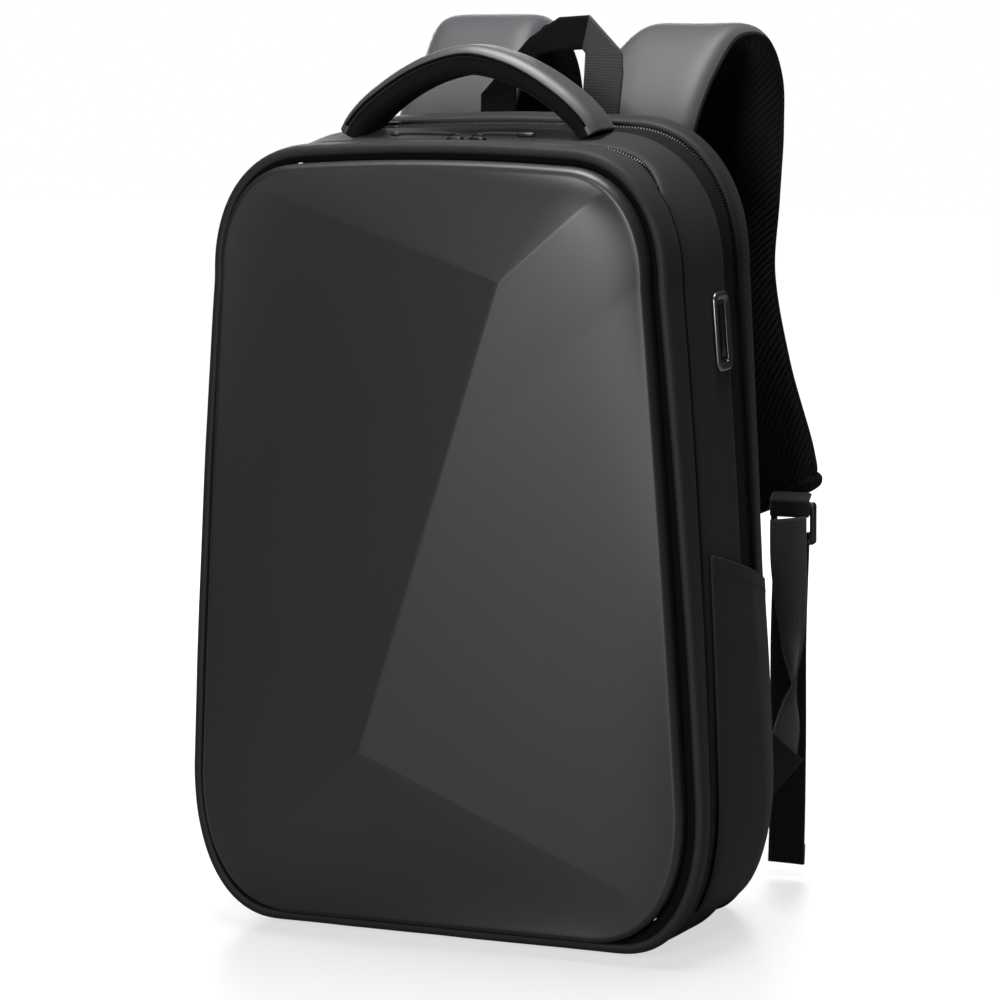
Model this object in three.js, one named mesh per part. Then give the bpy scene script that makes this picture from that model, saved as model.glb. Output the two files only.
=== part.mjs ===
import * as THREE from "three";

// A laptop backpack with a moulded front. Sizes are in millimetres. x is across, z is up,
// and y runs back from the groove round the shell, moved at the end to centre the base.

// The body: overall sizes, corners, and the depth of each band from front to rear.
const bodyWidth = 302;
const topWidth = 274;
const bodyHeight = 445;
const rimDepth = 19;
const mainDepth = 55;
const recessDepth = 40;
const rearDepth = 24;
const lowHeight = 85;
const lowCorner = 52;
const highCorner = 62;
const cornerDrop = 79;
const sideBow = 2;
const frontLift = 3;
const crown = 6.6;

// Walls, seams and clearances.
const cloth = 2.6;
const padding = 4.5;
const tape = 1.8;
const gap = 0.35;
const puff = 0.6;
const foldStep = 3.6;
const zipSunk = 1.4;
const zipSplit = 0.5;
const zipTape = 1.2;
const rimBack = 9;
const zipBack = 15;
const topBandLow = 40;
const topBandHigh = 21;

// The shell and the groove round it.
const shellWall = 2.5;
const shellRise = 25;
const shellEdgeDeep = 8.2;
const shellEdgeWide = 8.5;
const shellTuck = 5;
const groove = 9.4;
const lip = 2.9;
const bindingFront = 1.5;
const bindingDeep = 3.1;

// The padded back.
const backThick = 6.5;
const backDome = 7;
const backSlope = 14;

// The side pockets.
const pocketWall = 1.8;
const pocketTop = 218;
const pocketDrop = 31;
const pocketFoot = 17;
const pocketCurve = 6;
const pocketBehindRim = 8;
const pocketBeforeBack = 7;
const pocketTuck = 14;
const pocketSeam = 1;
const pocketBulge = 6.4;
const pocketMouth = 3;

// The charging port.
const portTall = 42;
const portWide = 21;
const portStands = 2.2;
const portBorder = 4.4;
const portRadius = 5;
const portHeight = 332;
const portBeforeFold = 11.5;

// The carry handle.
const handleReach = 70.5;
const handleRise = 38.6;
const handleWide = 35;
const handleThick = 15;
const handleCloth = 3.2;
const handleBeforeFold = 12;
const handleSeat = 0.8;

// The haul loop.
const haulSpan = 85.5;
const haulMiddle = 9.75;
const haulFoot = 27;
const haulRise = 53;
const haulLean = 0.06;

// The shoulder straps, their buckles and webbing.
const strapWide = 71;
const strapThick = 13;
const strapReach = 114;
const strapRise = 40;
const strapEnd = 219;
const strapCloth = 2.2;
const strapGap = 0.9;
const lockWide = 27;
const lockTall = 25;
const lockThick = 4.5;
const lockBar = 3.2;
const lockOut = 8;
const lockDrop = 14;
const webWide = 21.5;
const webTuck = 3.5;
const tailEnd = 7;
const tailSwing = 14.9;
const tailDrift = 2;
const anchorBow = 12;
const wingHeight = 82;
const wingHalf = 20;
const wingOut = 14.6;
const wingBack = 17.4;
const wingThick = 2.4;

// Zip sliders and their cord pulls.
const sliderLong = 9;
const sliderWide = 5;
const sliderTall = 4;
const sliderApart = 13;
const pullCord = 27;
const pullKnob = 5;
const pullThin = 1;
const pullThick = 2;
const rearSliderAt = 70;
const rearSliderBeforeEdge = 10;

const floor = 0;
const halfWidth = bodyWidth / 2;
const halfTop = topWidth / 2;
const foldAt = rimDepth + mainDepth;
const recessEnd = foldAt + recessDepth;
const bodyDepth = recessEnd + rearDepth;
const baseCentre = bodyDepth / 2;

// Outlines at a few depths. Every length is a share of the size that it follows: low of half
// the width, high of half the top width, top of the height, and the rest of their own sizes.
const sectionShares = [
  {
    y: rimDepth * 0.32, low: 1.001, high: 0.961, bow: 0.75,
    lift: 1, top: 0.9744, lowRun: 1, highRun: 0.903, drop: 0.861,
  },
  {
    y: rimDepth, low: 0.981, high: 0.981, bow: 1,
    lift: 0.167, top: 0.9739, lowRun: 1, highRun: 0.903, drop: 0.848,
  },
  {
    y: foldAt - mainDepth * 0.53, low: 0.991, high: 0.993, bow: 1,
    lift: 0, top: 0.9757, lowRun: 0.96, highRun: 0.935, drop: 0.861,
  },
  {
    y: foldAt, low: 0.996, high: 1, bow: 1,
    lift: 0, top: 0.9854, lowRun: 0.885, highRun: 1, drop: 0.911,
  },
  {
    y: recessEnd, low: 0.971, high: 0.975, bow: 0.7,
    lift: 0, top: 0.9964, lowRun: 0.69, highRun: 1, drop: 0.975,
  },
  {
    y: bodyDepth, low: 0.937, high: 0.956, bow: 0.4,
    lift: 0.333, top: 1, lowRun: 0.654, highRun: 1, drop: 1,
  },
];

const sections = sectionShares.map((row) => ({
  y: row.y,
  low: row.low * halfWidth,
  high: row.high * halfTop,
  bow: row.bow * sideBow,
  base: row.lift * frontLift,
  top: row.top * bodyHeight,
  lowRun: row.lowRun * lowCorner,
  highRun: row.highRun * highCorner,
  highDrop: row.drop * cornerDrop,
}));

// The shell lies inside the front outline by the groove.
const shellSection = {
  y: 0,
  low: sections[0].low - groove * 1.106,
  high: sections[0].high - groove * 0.96,
  bow: sideBow * 0.4,
  base: sections[0].base + groove * 0.8,
  top: sections[0].top - groove,
  lowRun: lowCorner * 1.038,
  highRun: highCorner * 0.726,
  highDrop: cornerDrop * 0.734,
};

// Number of steps round one half of the outline, and how square its corners are.
const steps = { base: 2, lowTurn: 6, side: 4, highTurn: 6, top: 3 };
const outlineCount = 2 * (steps.base + steps.lowTurn + steps.side + steps.highTurn + steps.top);
const cornerPower = 2.3;

const clamp01 = (value) => Math.min(1, Math.max(0, value));
const blend = (a, b, share) => a + (b - a) * share;
const ease = (from, to, value) => {
  const t = clamp01((value - from) / (to - from));
  return t * t * (3 - 2 * t);
};

function blendRows(a, b, share) {
  const row = {};
  for (const key of Object.keys(a)) row[key] = blend(a[key], b[key], share);
  return row;
}

function sectionAt(y) {
  if (y <= sections[0].y) return sections[0];
  for (let i = 1; i < sections.length; i++) {
    const before = sections[i - 1];
    const after = sections[i];
    if (y <= after.y) return blendRows(before, after, (y - before.y) / (after.y - before.y));
  }
  return sections[sections.length - 1];
}

function cornerPoint(centreX, centreZ, run, rise, angle) {
  const power = 2 / cornerPower;
  const x = centreX + run * Math.pow(Math.max(0, Math.cos(angle)), power);
  const z = centreZ + Math.sign(Math.sin(angle)) * rise * Math.pow(Math.abs(Math.sin(angle)), power);
  return [x, z];
}

// Right half of the outline, from the middle of the base up to the middle of the top.
function halfOutline(section, grow) {
  const low = section.low + grow;
  const high = section.high + grow;
  const lowRun = section.lowRun + grow;
  const highRun = section.highRun + grow;
  const base = section.base - grow;
  const lowRise = lowHeight - base;
  const shoulder = section.top - crown - section.highDrop;
  const highDrop = section.highDrop + grow;
  const points = [];
  for (let i = 0; i < steps.base; i++) points.push([(low - lowRun) * i / steps.base, base]);
  for (let i = 0; i <= steps.lowTurn; i++) {
    const angle = -Math.PI / 2 * (1 - i / steps.lowTurn);
    points.push(cornerPoint(low - lowRun, lowHeight, lowRun, lowRise, angle));
  }
  for (let i = 1; i < steps.side; i++) {
    const t = i / steps.side;
    points.push([blend(low, high, t) + section.bow * 4 * t * (1 - t), blend(lowHeight, shoulder, t)]);
  }
  for (let i = 0; i <= steps.highTurn; i++) {
    const angle = Math.PI / 2 * i / steps.highTurn;
    points.push(cornerPoint(high - highRun, shoulder, highRun, highDrop, angle));
  }
  for (let i = 1; i <= steps.top; i++) points.push([(high - highRun) * (1 - i / steps.top), shoulder + highDrop]);
  return points.map(([x, z]) => {
    const lift = ease(shoulder, shoulder + highDrop, z);
    return [x, Math.max(floor, z + crown * lift * (1 - Math.pow(x / high, 2)))];
  });
}

function outline(section, grow) {
  const right = halfOutline(section, grow);
  const left = right.slice(1, -1).reverse().map(([x, z]) => [-x, z]);
  return right.concat(left);
}

const point = (x, y, z) => new THREE.Vector3(x, y - baseCentre, z);

// Joins equal corners, drops empty triangles and turns the faces outwards.
function closedGeometry(triangles) {
  const seen = new Map();
  const corners = [];
  const faces = [];
  for (const triangle of triangles) {
    const ids = triangle.map((corner) => {
      const key = [corner.x, corner.y, corner.z].map((value) => Math.round(value * 500)).join(",");
      if (!seen.has(key)) {
        seen.set(key, corners.length);
        corners.push(corner);
      }
      return seen.get(key);
    });
    if (ids[0] !== ids[1] && ids[1] !== ids[2] && ids[2] !== ids[0]) faces.push(ids);
  }
  let volume = 0;
  for (const [a, b, c] of faces) {
    volume += corners[a].dot(new THREE.Vector3().crossVectors(corners[b], corners[c]));
  }
  const index = faces.flatMap(([a, b, c]) => (volume < 0 ? [a, c, b] : [a, b, c]));
  const geometry = new THREE.BufferGeometry();
  const flat = corners.flatMap((corner) => [corner.x, corner.y, corner.z]);
  geometry.setAttribute("position", new THREE.Float32BufferAttribute(flat, 3));
  geometry.setIndex(index);
  geometry.computeVertexNormals();
  return geometry;
}

function bandTriangles(a, b) {
  const out = [];
  for (let i = 0; i < a.length; i++) {
    const j = (i + 1) % a.length;
    out.push([a[i], b[i], b[j]], [a[i], b[j], a[j]]);
  }
  return out;
}

function capTriangles(ring, flip) {
  const centre = new THREE.Vector3();
  for (const corner of ring) centre.add(corner);
  centre.divideScalar(ring.length);
  const out = [];
  for (let i = 0; i < ring.length; i++) {
    const next = ring[(i + 1) % ring.length];
    out.push(flip ? [centre, next, ring[i]] : [centre, ring[i], next]);
  }
  return out;
}

// Closes a folded ring whose two faces have equal counts, with a strip between them.
function stripCap(ring, flip) {
  const out = [];
  const last = ring.length - 1;
  for (let i = 0; i < ring.length / 2 - 1; i++) {
    const quad = [ring[i], ring[i + 1], ring[last - i - 1], ring[last - i]];
    if (flip) quad.reverse();
    out.push([quad[0], quad[1], quad[2]], [quad[0], quad[2], quad[3]]);
  }
  return out;
}

// Joins rings of equal count. ends is "loop", "open", "caps" or "strips".
function loft(rings, ends) {
  const last = rings[rings.length - 1];
  const triangles = [];
  for (let i = 1; i < rings.length; i++) triangles.push(...bandTriangles(rings[i - 1], rings[i]));
  if (ends === "loop") triangles.push(...bandTriangles(last, rings[0]));
  if (ends === "caps") triangles.push(...capTriangles(rings[0], false), ...capTriangles(last, true));
  if (ends === "strips") triangles.push(...stripCap(rings[0], false), ...stripCap(last, true));
  return closedGeometry(triangles);
}

function piece(name, geometry, colour, roughness, metalness) {
  const material = new THREE.MeshStandardMaterial({ color: colour, roughness, metalness });
  const mesh = new THREE.Mesh(geometry, material);
  mesh.name = name;
  return mesh;
}

// A ring wall that follows the body. Each profile row has a depth, an offset from the
// outline, and how far the depth moves back along the top.
function bodyRing(profile) {
  const rings = profile.map(({ y, out, topBack = 0 }) => {
    const plain = outline(sectionAt(y), out);
    return plain.map(([x, z], i) => {
      const back = topBack * ease(bodyHeight - topBandLow, bodyHeight - topBandHigh, z);
      const moved = back ? outline(sectionAt(y + back), out)[i] : [x, z];
      return point(moved[0], y + back, moved[1]);
    });
  });
  return loft(rings, "loop");
}

// The shell: a tray whose face rises to a slanting ridge, so that it has four facets.
// Its rounded edge is in shares of the edge's depth and width, its ridge in shares of the body.
const shellEdgeRows = [
  { front: 0.305, inset: 0 },
  { front: 0.683, inset: 0.188 },
  { front: 0.902, inset: 0.541 },
  { front: 1, inset: 1 },
];
const ridgeHead = { across: 0.35, up: 0.8148 };
const ridgeFoot = { across: -0.264, up: 0.245 };
const ridgeFirst = steps.base + 3;
const ridgeLast = steps.base + steps.lowTurn + steps.side + 4;

function ridgeTarget(index, y) {
  const step = index <= outlineCount / 2 ? index : outlineCount - index;
  const share = clamp01((step - ridgeFirst) / (ridgeLast - ridgeFirst));
  const x = blend(ridgeFoot.across, ridgeHead.across, share) * halfTop;
  return point(x, y, blend(ridgeFoot.up, ridgeHead.up, share) * bodyHeight);
}

function shellSkin(inset) {
  const ring = (y, grow) => outline(shellSection, grow).map(([x, z]) => point(x, y, z));
  const rings = [ring(shellTuck, -inset)];
  for (const row of shellEdgeRows) {
    rings.push(ring(inset - row.front * shellEdgeDeep, -inset - row.inset * shellEdgeWide));
  }
  const rim = rings[rings.length - 1];
  const ridge = rim.map((corner, index) => ridgeTarget(index, inset - shellRise));
  rings.push(rim.map((corner, index) => corner.clone().lerp(ridge[index], 0.5)));
  rings.push(ridge);
  return rings;
}

function frontShell() {
  const outside = shellSkin(0).reverse();
  const inside = shellSkin(shellWall);
  return piece("front_shell", loft(outside.concat(inside), "open"), 0x3f4246, 0.5, 0.1);
}

// Black binding that fills the groove between the shell and the rim.
const bindingBack = bindingFront + bindingDeep;

function shellBinding() {
  const inner = outline(shellSection, gap);
  const outer = outline(sectionAt(bindingFront), -lip - gap);
  const ring = (points, y) => points.map(([x, z]) => point(x, y, z));
  const rings = [
    ring(inner, bindingFront),
    ring(outer, bindingFront),
    ring(outer, bindingBack),
    ring(inner, bindingBack),
  ];
  return piece("shell_binding", loft(rings, "loop"), 0x08080a, 0.9, 0);
}

// The rim: a padded roll from the groove to the crease, further back along the top.
function frontRim() {
  const inner = bindingBack + gap;
  const at = (share) => blend(inner, rimDepth, share);
  const profile = [
    { y: bindingFront + bindingDeep * 0.23, out: -lip },
    { y: bindingFront + bindingDeep * 0.35, out: -lip * 0.55 },
    { y: bindingBack, out: -puff * 0.7 },
    { y: at(0.22), out: puff * 0.3, topBack: rimBack * 0.3 },
    { y: at(0.54), out: puff, topBack: rimBack * 0.6 },
    { y: at(0.82), out: puff * 0.3, topBack: rimBack * 0.9 },
    { y: rimDepth, out: -lip * 0.55, topBack: rimBack },
    { y: rimDepth - puff, out: -padding, topBack: rimBack },
    { y: at(0.36), out: -padding, topBack: rimBack * 0.5 },
    { y: inner, out: -padding },
    { y: inner, out: -lip },
  ];
  return piece("front_rim", bodyRing(profile), 0x333539, 0.85, 0);
}

// Zip tape behind the rim, a thin line on the sides that opens out along the top.
const zipFront = rimDepth + zipSplit;
const zipRear = zipFront + zipTape;

function frontZip() {
  const profile = [
    { y: zipFront, out: -zipSunk, topBack: rimBack },
    { y: zipRear, out: -zipSunk, topBack: zipBack },
    { y: zipRear, out: -zipSunk - cloth, topBack: zipBack },
    { y: zipFront, out: -zipSunk - cloth, topBack: rimBack },
  ];
  return piece("front_zip", bodyRing(profile), 0x111214, 0.8, 0);
}

function mainGusset() {
  const front = zipRear + gap * 2.5;
  const at = (share) => blend(front, foldAt, share);
  const profile = [
    { y: front, out: -puff * 3, topBack: zipBack },
    { y: at(0.04), out: -puff * 0.5, topBack: zipBack },
    { y: at(0.24), out: puff * 0.5, topBack: zipBack * 0.5 },
    { y: at(0.62), out: puff * 0.4 },
    { y: at(0.95), out: puff * 0.7 },
    { y: foldAt + gap, out: -puff * 0.3 },
    { y: foldAt + foldStep * 0.55, out: -foldStep * 0.6 },
    { y: foldAt + foldStep * 0.33, out: -foldStep },
    { y: at(0.95), out: -cloth },
    { y: at(0.28), out: -cloth, topBack: zipBack * 0.5 },
    { y: front + zipSplit, out: -cloth - puff * 2, topBack: zipBack },
  ];
  return piece("main_gusset", bodyRing(profile), 0x2f3135, 0.88, 0);
}

// The recess between the fold and the rear gusset, with the zip of the rear part.
function rearZip() {
  const front = foldAt + foldStep * 0.47;
  const back = recessEnd - gap * 4;
  const profile = [
    { y: front, out: -foldStep * 1.1 },
    { y: blend(front, back, 0.5), out: -foldStep * 0.9 },
    { y: back, out: -foldStep * 0.83 },
    { y: back, out: -foldStep * 0.83 - cloth },
    { y: front, out: -foldStep * 1.1 - cloth },
  ];
  return piece("rear_zip", bodyRing(profile), 0x18191b, 0.85, 0);
}

function rearGusset() {
  const front = recessEnd - gap * 2;
  const at = (share) => blend(front, bodyDepth, share);
  const profile = [
    { y: front, out: -cloth },
    { y: at(0.05), out: -puff },
    { y: at(0.2), out: puff * 0.3 },
    { y: at(0.6), out: puff },
    { y: at(0.86), out: 0 },
    { y: bodyDepth, out: -cloth },
    { y: at(0.96), out: -cloth * 2 },
    { y: at(0.6), out: -cloth * 1.4 },
    { y: at(0.03), out: -cloth * 2 },
  ];
  return piece("rear_gusset", bodyRing(profile), 0x2b2d31, 0.88, 0);
}

// The back is a padded panel, domed to the rear and thin at its sewn edge. Its rows are in
// shares of the dome and of the slope round it.
const backRows = [
  { dome: 0.09, inset: 0, share: 0 },
  { dome: 0.57, inset: 0.36, share: 0 },
  { dome: 0.86, inset: 1, share: 0 },
  { dome: 1, inset: 1, share: 0.7 },
];

function backPanel() {
  const rear = sections[sections.length - 1];
  const edge = cloth * 2 + gap * 2;
  const ring = (y, inset, share) => outline(rear, -edge - inset).map(([x, z]) => {
    return point(x * (1 - share), y, blend(z, bodyHeight / 2, share));
  });
  const front = bodyDepth - backThick;
  const rings = [ring(front, 0, 0.7), ring(front, 0, 0)];
  for (const { dome, inset, share } of backRows) {
    rings.push(ring(bodyDepth + dome * backDome, inset * backSlope, share));
  }
  return piece("back_panel", loft(rings, "caps"), 0x1b1c1e, 0.95, 0);
}

// Point on the right side of the body at a height, with an offset outwards.
function sidePoint(y, height, out) {
  const points = outline(sectionAt(y), out).slice(steps.base, outlineCount / 2);
  for (let i = 1; i < points.length; i++) {
    const [x0, z0] = points[i - 1];
    const [x1, z1] = points[i];
    if (height >= z0 && height <= z1) return point(blend(x0, x1, (height - z0) / (z1 - z0)), y, height);
  }
  return point(points[0][0], y, points[0][1]);
}

// A side pocket: a cloth patch over the lower side, open along its slanting top edge.
const pocketSteps = { across: 9, up: 10 };
const pocketFullest = 0.55;

function pocketPoint(across, up, extra) {
  const foot = pocketFoot + pocketCurve * Math.pow(2 * across - 1, 2);
  const rear = bodyDepth - pocketBeforeBack - pocketTuck * Math.pow(1 - up, 3);
  const y = blend(rimDepth + pocketBehindRim, rear, across);
  const height = blend(foot, pocketTop - pocketDrop * across, up);
  const arch = Math.sin(Math.PI * across);
  const swell = pocketBulge * Math.sin(Math.PI * Math.pow(up, pocketFullest)) + pocketMouth * up;
  return sidePoint(y, height, pocketSeam + arch * swell + extra);
}

function sidePocket(name, side) {
  const rings = [];
  for (let j = 0; j <= pocketSteps.up; j++) {
    const ring = [];
    for (let i = 0; i <= pocketSteps.across; i++) {
      ring.push(pocketPoint(i / pocketSteps.across, j / pocketSteps.up, pocketWall));
    }
    for (let i = pocketSteps.across; i >= 0; i--) {
      ring.push(pocketPoint(i / pocketSteps.across, j / pocketSteps.up, 0));
    }
    rings.push(ring);
  }
  return piece(name, loft(mirrored(rings, side), "strips"), 0x2d2f33, 0.88, 0);
}

const mirrored = (rings, side) => rings.map((ring) => ring.map((corner) => {
  return new THREE.Vector3(corner.x * side, corner.y, corner.z);
}));

// A rounded rectangle as a ring of pairs.
function roundedRing(width, height, radius, perCorner) {
  const out = [];
  for (let corner = 0; corner < 4; corner++) {
    const signX = corner === 0 || corner === 3 ? 1 : -1;
    const signY = corner < 2 ? 1 : -1;
    for (let i = 0; i <= perCorner; i++) {
      const angle = (corner + i / perCorner) * Math.PI / 2;
      const x = signX * (width / 2 - radius) + radius * Math.cos(angle);
      const y = signY * (height / 2 - radius) + radius * Math.sin(angle);
      out.push([x, y]);
    }
  }
  return out;
}

// The port lies on the side: this is its frame, up, back along the side and out of it.
function portFrame() {
  const y = foldAt - portBeforeFold;
  const reach = portWide / 2;
  const up = sidePoint(y, portHeight + reach, 0).sub(sidePoint(y, portHeight - reach, 0)).normalize();
  const back = sidePoint(y + reach, portHeight, 0).sub(sidePoint(y - reach, portHeight, 0)).normalize();
  const out = new THREE.Vector3().crossVectors(back, up).normalize();
  return { origin: sidePoint(y, portHeight, puff), up, back, out };
}

function portRing(inset, radius, rise) {
  const frame = portFrame();
  return roundedRing(portWide - 2 * inset, portTall - 2 * inset, radius, 3).map(([b, u]) => {
    return frame.origin.clone()
      .addScaledVector(frame.back, b)
      .addScaledVector(frame.up, u)
      .addScaledVector(frame.out, rise);
  });
}

function portSurround() {
  const rings = [
    portRing(0, portRadius, gap),
    portRing(0, portRadius, portStands * 0.73),
    portRing(portBorder * 0.18, portRadius * 0.88, portStands),
    portRing(portBorder, portRadius * 0.5, portStands * 0.82),
    portRing(portBorder, portRadius * 0.5, gap),
  ];
  return piece("usb_frame", loft(rings, "loop"), 0x8a8d92, 0.35, 0.9);
}

function portSlot() {
  const inset = portBorder + gap;
  const rings = [portRing(inset, portRadius * 0.48, gap), portRing(inset, portRadius * 0.48, portStands * 0.45)];
  return piece("usb_slot", loft(rings, "caps"), 0x0a0a0c, 0.6, 0);
}

// Smooth path through rows of x, y and z, by a centripetal spline.
function pathStations(rows, count) {
  const curve = new THREE.CatmullRomCurve3(rows.map((row) => point(row.x, row.y, row.z)), false, "centripetal");
  const stations = [];
  for (let i = 0; i < count; i++) {
    const share = i / (count - 1);
    const at = share * (rows.length - 1);
    const before = Math.min(rows.length - 2, Math.floor(at));
    const row = blendRows(rows[before], rows[before + 1], at - before);
    stations.push({ ...row, centre: curve.getPoint(share), ahead: curve.getTangent(share) });
  }
  return stations;
}

// Sweeps a section along stations. sectionOf gives pairs across the width and the thickness.
function sweep(stations, widthAxis, sectionOf) {
  return stations.map((station) => {
    const across = widthAxis(station).clone();
    across.addScaledVector(station.ahead, -across.dot(station.ahead)).normalize();
    const normal = new THREE.Vector3().crossVectors(across, station.ahead).normalize();
    return sectionOf(station).map(([a, n]) => {
      return station.centre.clone().addScaledVector(across, a).addScaledVector(normal, n);
    });
  });
}

// A strap's cover is a bent sheet over its padding. Both sections are in shares of the half
// width, and the sheet's drop at each edge follows its own thickness.
function coverSection(half, top, sheet, edge) {
  const low = top - sheet;
  return [
    [-half, top - edge],
    [-half * 0.84, top - edge * 0.3],
    [0, top],
    [half * 0.84, top - edge * 0.3],
    [half, top - edge],
    [half * 0.84, low - edge * 0.3],
    [0, low],
    [-half * 0.84, low - edge * 0.3],
  ];
}

function paddingSection(half, top, bottom, edge) {
  return [
    [-half * 0.97, top - edge],
    [-half * 0.82, top - edge * 0.5],
    [0, top],
    [half * 0.82, top - edge * 0.5],
    [half * 0.97, top - edge],
    [half * 0.85, bottom + edge * 0.5],
    [0, bottom],
    [-half * 0.85, bottom + edge * 0.5],
  ];
}

// The carry handle: an arch across the top, in shares of its reach, rise, thickness and width.
const handleCount = 17;
const handleHalf = [
  { across: 0, up: 1, thick: 1.1, wide: 0.886 },
  { across: 0.284, up: 0.899, thick: 1.07, wide: 0.914 },
  { across: 0.482, up: 0.749, thick: 1.03, wide: 0.943 },
  { across: 0.667, up: 0.549, thick: 1, wide: 0.971 },
  { across: 0.823, up: 0.334, thick: 1, wide: 1 },
  { across: 0.936, up: 0.127, thick: 0.97, wide: 1 },
  { across: 1, up: -0.054, thick: 0.93, wide: 1 },
];
const handleAt = foldAt - handleBeforeFold;
const handleAcross = new THREE.Vector3(0, -1, 0);

// Height of the top of the body at a place on it.
function topHeight(x, y) {
  const points = outline(sectionAt(y), 0).slice(steps.base + steps.lowTurn, outlineCount / 2 + 1);
  for (let i = points.length - 1; i > 0; i--) {
    const [x0, z0] = points[i];
    const [x1, z1] = points[i - 1];
    if (Math.abs(x) <= x1) return blend(z0, z1, (Math.abs(x) - x0) / (x1 - x0));
  }
  return points[0][1];
}

function handleStations() {
  const rowOf = (side) => (row) => ({
    x: side * row.across * handleReach,
    y: handleAt,
    z: topHeight(0, handleAt) + row.up * handleRise,
    thick: row.thick * handleThick,
    wide: row.wide * handleWide,
  });
  const left = handleHalf.slice(1).reverse().map(rowOf(-1));
  return pathStations(left.concat(handleHalf.map(rowOf(1))), handleCount);
}

// Cuts both feet of the handle to the slope of the top, along the line of each foot.
function seatFeet(rings) {
  const seatAt = (corner) => topHeight(corner.x, corner.y + baseCentre) + handleSeat;
  for (const corner of rings.slice(1, -1).flat()) corner.z = Math.max(corner.z, seatAt(corner) + gap);
  for (const [end, next] of [[0, 1], [rings.length - 1, rings.length - 2]]) {
    rings[end].forEach((corner, i) => {
      const along = rings[next][i].clone().sub(corner);
      for (let pass = 0; pass < 4; pass++) {
        corner.addScaledVector(along, (seatAt(corner) - corner.z) / along.z);
      }
    });
  }
  return rings;
}

function handleCover() {
  const rings = sweep(handleStations(), () => handleAcross, ({ wide, thick }) => {
    return coverSection(wide / 2, thick / 2, handleCloth, handleCloth * 1.9);
  });
  return piece("handle_cover", loft(seatFeet(rings), "strips"), 0x3a3c40, 0.8, 0);
}

function handlePadding() {
  const rings = sweep(handleStations(), () => handleAcross, ({ wide, thick }) => {
    return paddingSection(wide / 2, thick / 2 - handleCloth - gap, -thick / 2, handleCloth * 1.2);
  });
  return piece("handle_padding", loft(seatFeet(rings), "caps"), 0x141416, 0.95, 0);
}

// The haul loop: webbing folded over at its right corner, standing against the back panel.
// Outer and inner edge, in shares of half its span and of its height over the foot.
const haulEdges = [
  { outX: 0.918, outUp: 0, inX: 0.404, inUp: 0 },
  { outX: 1, outUp: 0.6, inX: 0.462, inUp: 0.625 },
  { outX: 0.977, outUp: 0.744, inX: 0.469, inUp: 0.737 },
  { outX: 0.521, outUp: 1, inX: 0.427, inUp: 0.762 },
  { outX: 0.099, outUp: 0.987, inX: 0.053, inUp: 0.75 },
  { outX: -0.322, outUp: 0.844, inX: -0.181, inUp: 0.725 },
  { outX: -1, outUp: 0.45, inX: -0.509, inUp: 0.512 },
  { outX: -1, outUp: 0, inX: -0.509, inUp: 0 },
];
const panelRear = bodyDepth + backDome * 0.86;

function haulLoop() {
  const place = (across, up, behind) => {
    const rise = up * (haulFoot + haulRise);
    const y = panelRear + gap + rise * haulLean + behind;
    return point(haulMiddle + across * haulSpan / 2, y, bodyHeight - haulFoot + rise);
  };
  const rings = haulEdges.map(({ outX, outUp, inX, inUp }) => [
    place(outX, outUp, 0),
    place(inX, inUp, 0),
    place(inX, inUp, tape),
    place(outX, outUp, tape),
  ]);
  return piece("haul_loop", loft(rings, "caps"), 0x26282b, 0.85, 0);
}

// The shoulder straps: their centre lines in shares of half the body width, of the reach
// behind the back and of the rise from the strap's end, then width and thickness.
const strapCount = 24;
const strapShares = {
  right: [
    { across: 0.364, back: 0, up: 0.673, wide: 0.93, thick: 0.65 },
    { across: 0.364, back: 0.036, up: 0.759, wide: 0.958, thick: 0.73 },
    { across: 0.371, back: 0.126, up: 0.838, wide: 0.986, thick: 0.92 },
    { across: 0.404, back: 0.346, up: 0.936, wide: 0.93, thick: 1 },
    { across: 0.45, back: 0.591, up: 1, wide: 0.859, thick: 1 },
    { across: 0.47, back: 0.811, up: 0.989, wide: 0.831, thick: 1 },
    { across: 0.47, back: 0.969, up: 0.91, wide: 0.887, thick: 1 },
    { across: 0.47, back: 1.004, up: 0.793, wide: 0.958, thick: 1 },
    { across: 0.477, back: 0.934, up: 0.643, wide: 0.958, thick: 1 },
    { across: 0.51, back: 0.837, up: 0.474, wide: 0.915, thick: 1 },
    { across: 0.596, back: 0.767, up: 0.267, wide: 0.901, thick: 1 },
    { across: 0.715, back: 0.749, up: 0.079, wide: 0.803, thick: 0.92 },
    { across: 0.788, back: 0.749, up: 0, wide: 0.648, thick: 0.77 },
  ],
  left: [
    { across: 0.364, back: 0, up: 0.673, wide: 0.93, thick: 0.65 },
    { across: 0.364, back: 0.036, up: 0.759, wide: 0.958, thick: 0.73 },
    { across: 0.371, back: 0.126, up: 0.838, wide: 0.986, thick: 0.92 },
    { across: 0.358, back: 0.346, up: 0.947, wide: 0.93, thick: 1 },
    { across: 0.368, back: 0.574, up: 1.019, wide: 0.944, thick: 1 },
    { across: 0.371, back: 0.802, up: 1.015, wide: 0.972, thick: 1 },
    { across: 0.358, back: 0.969, up: 0.936, wide: 1.014, thick: 1 },
    { across: 0.344, back: 1.004, up: 0.793, wide: 1, thick: 1 },
    { across: 0.377, back: 0.934, up: 0.643, wide: 0.972, thick: 1 },
    { across: 0.45, back: 0.837, up: 0.474, wide: 0.93, thick: 1 },
    { across: 0.57, back: 0.767, up: 0.267, wide: 0.901, thick: 1 },
    { across: 0.709, back: 0.749, up: 0.079, wide: 0.803, thick: 0.92 },
    { across: 0.788, back: 0.749, up: 0, wide: 0.648, thick: 0.77 },
  ],
};

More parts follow.
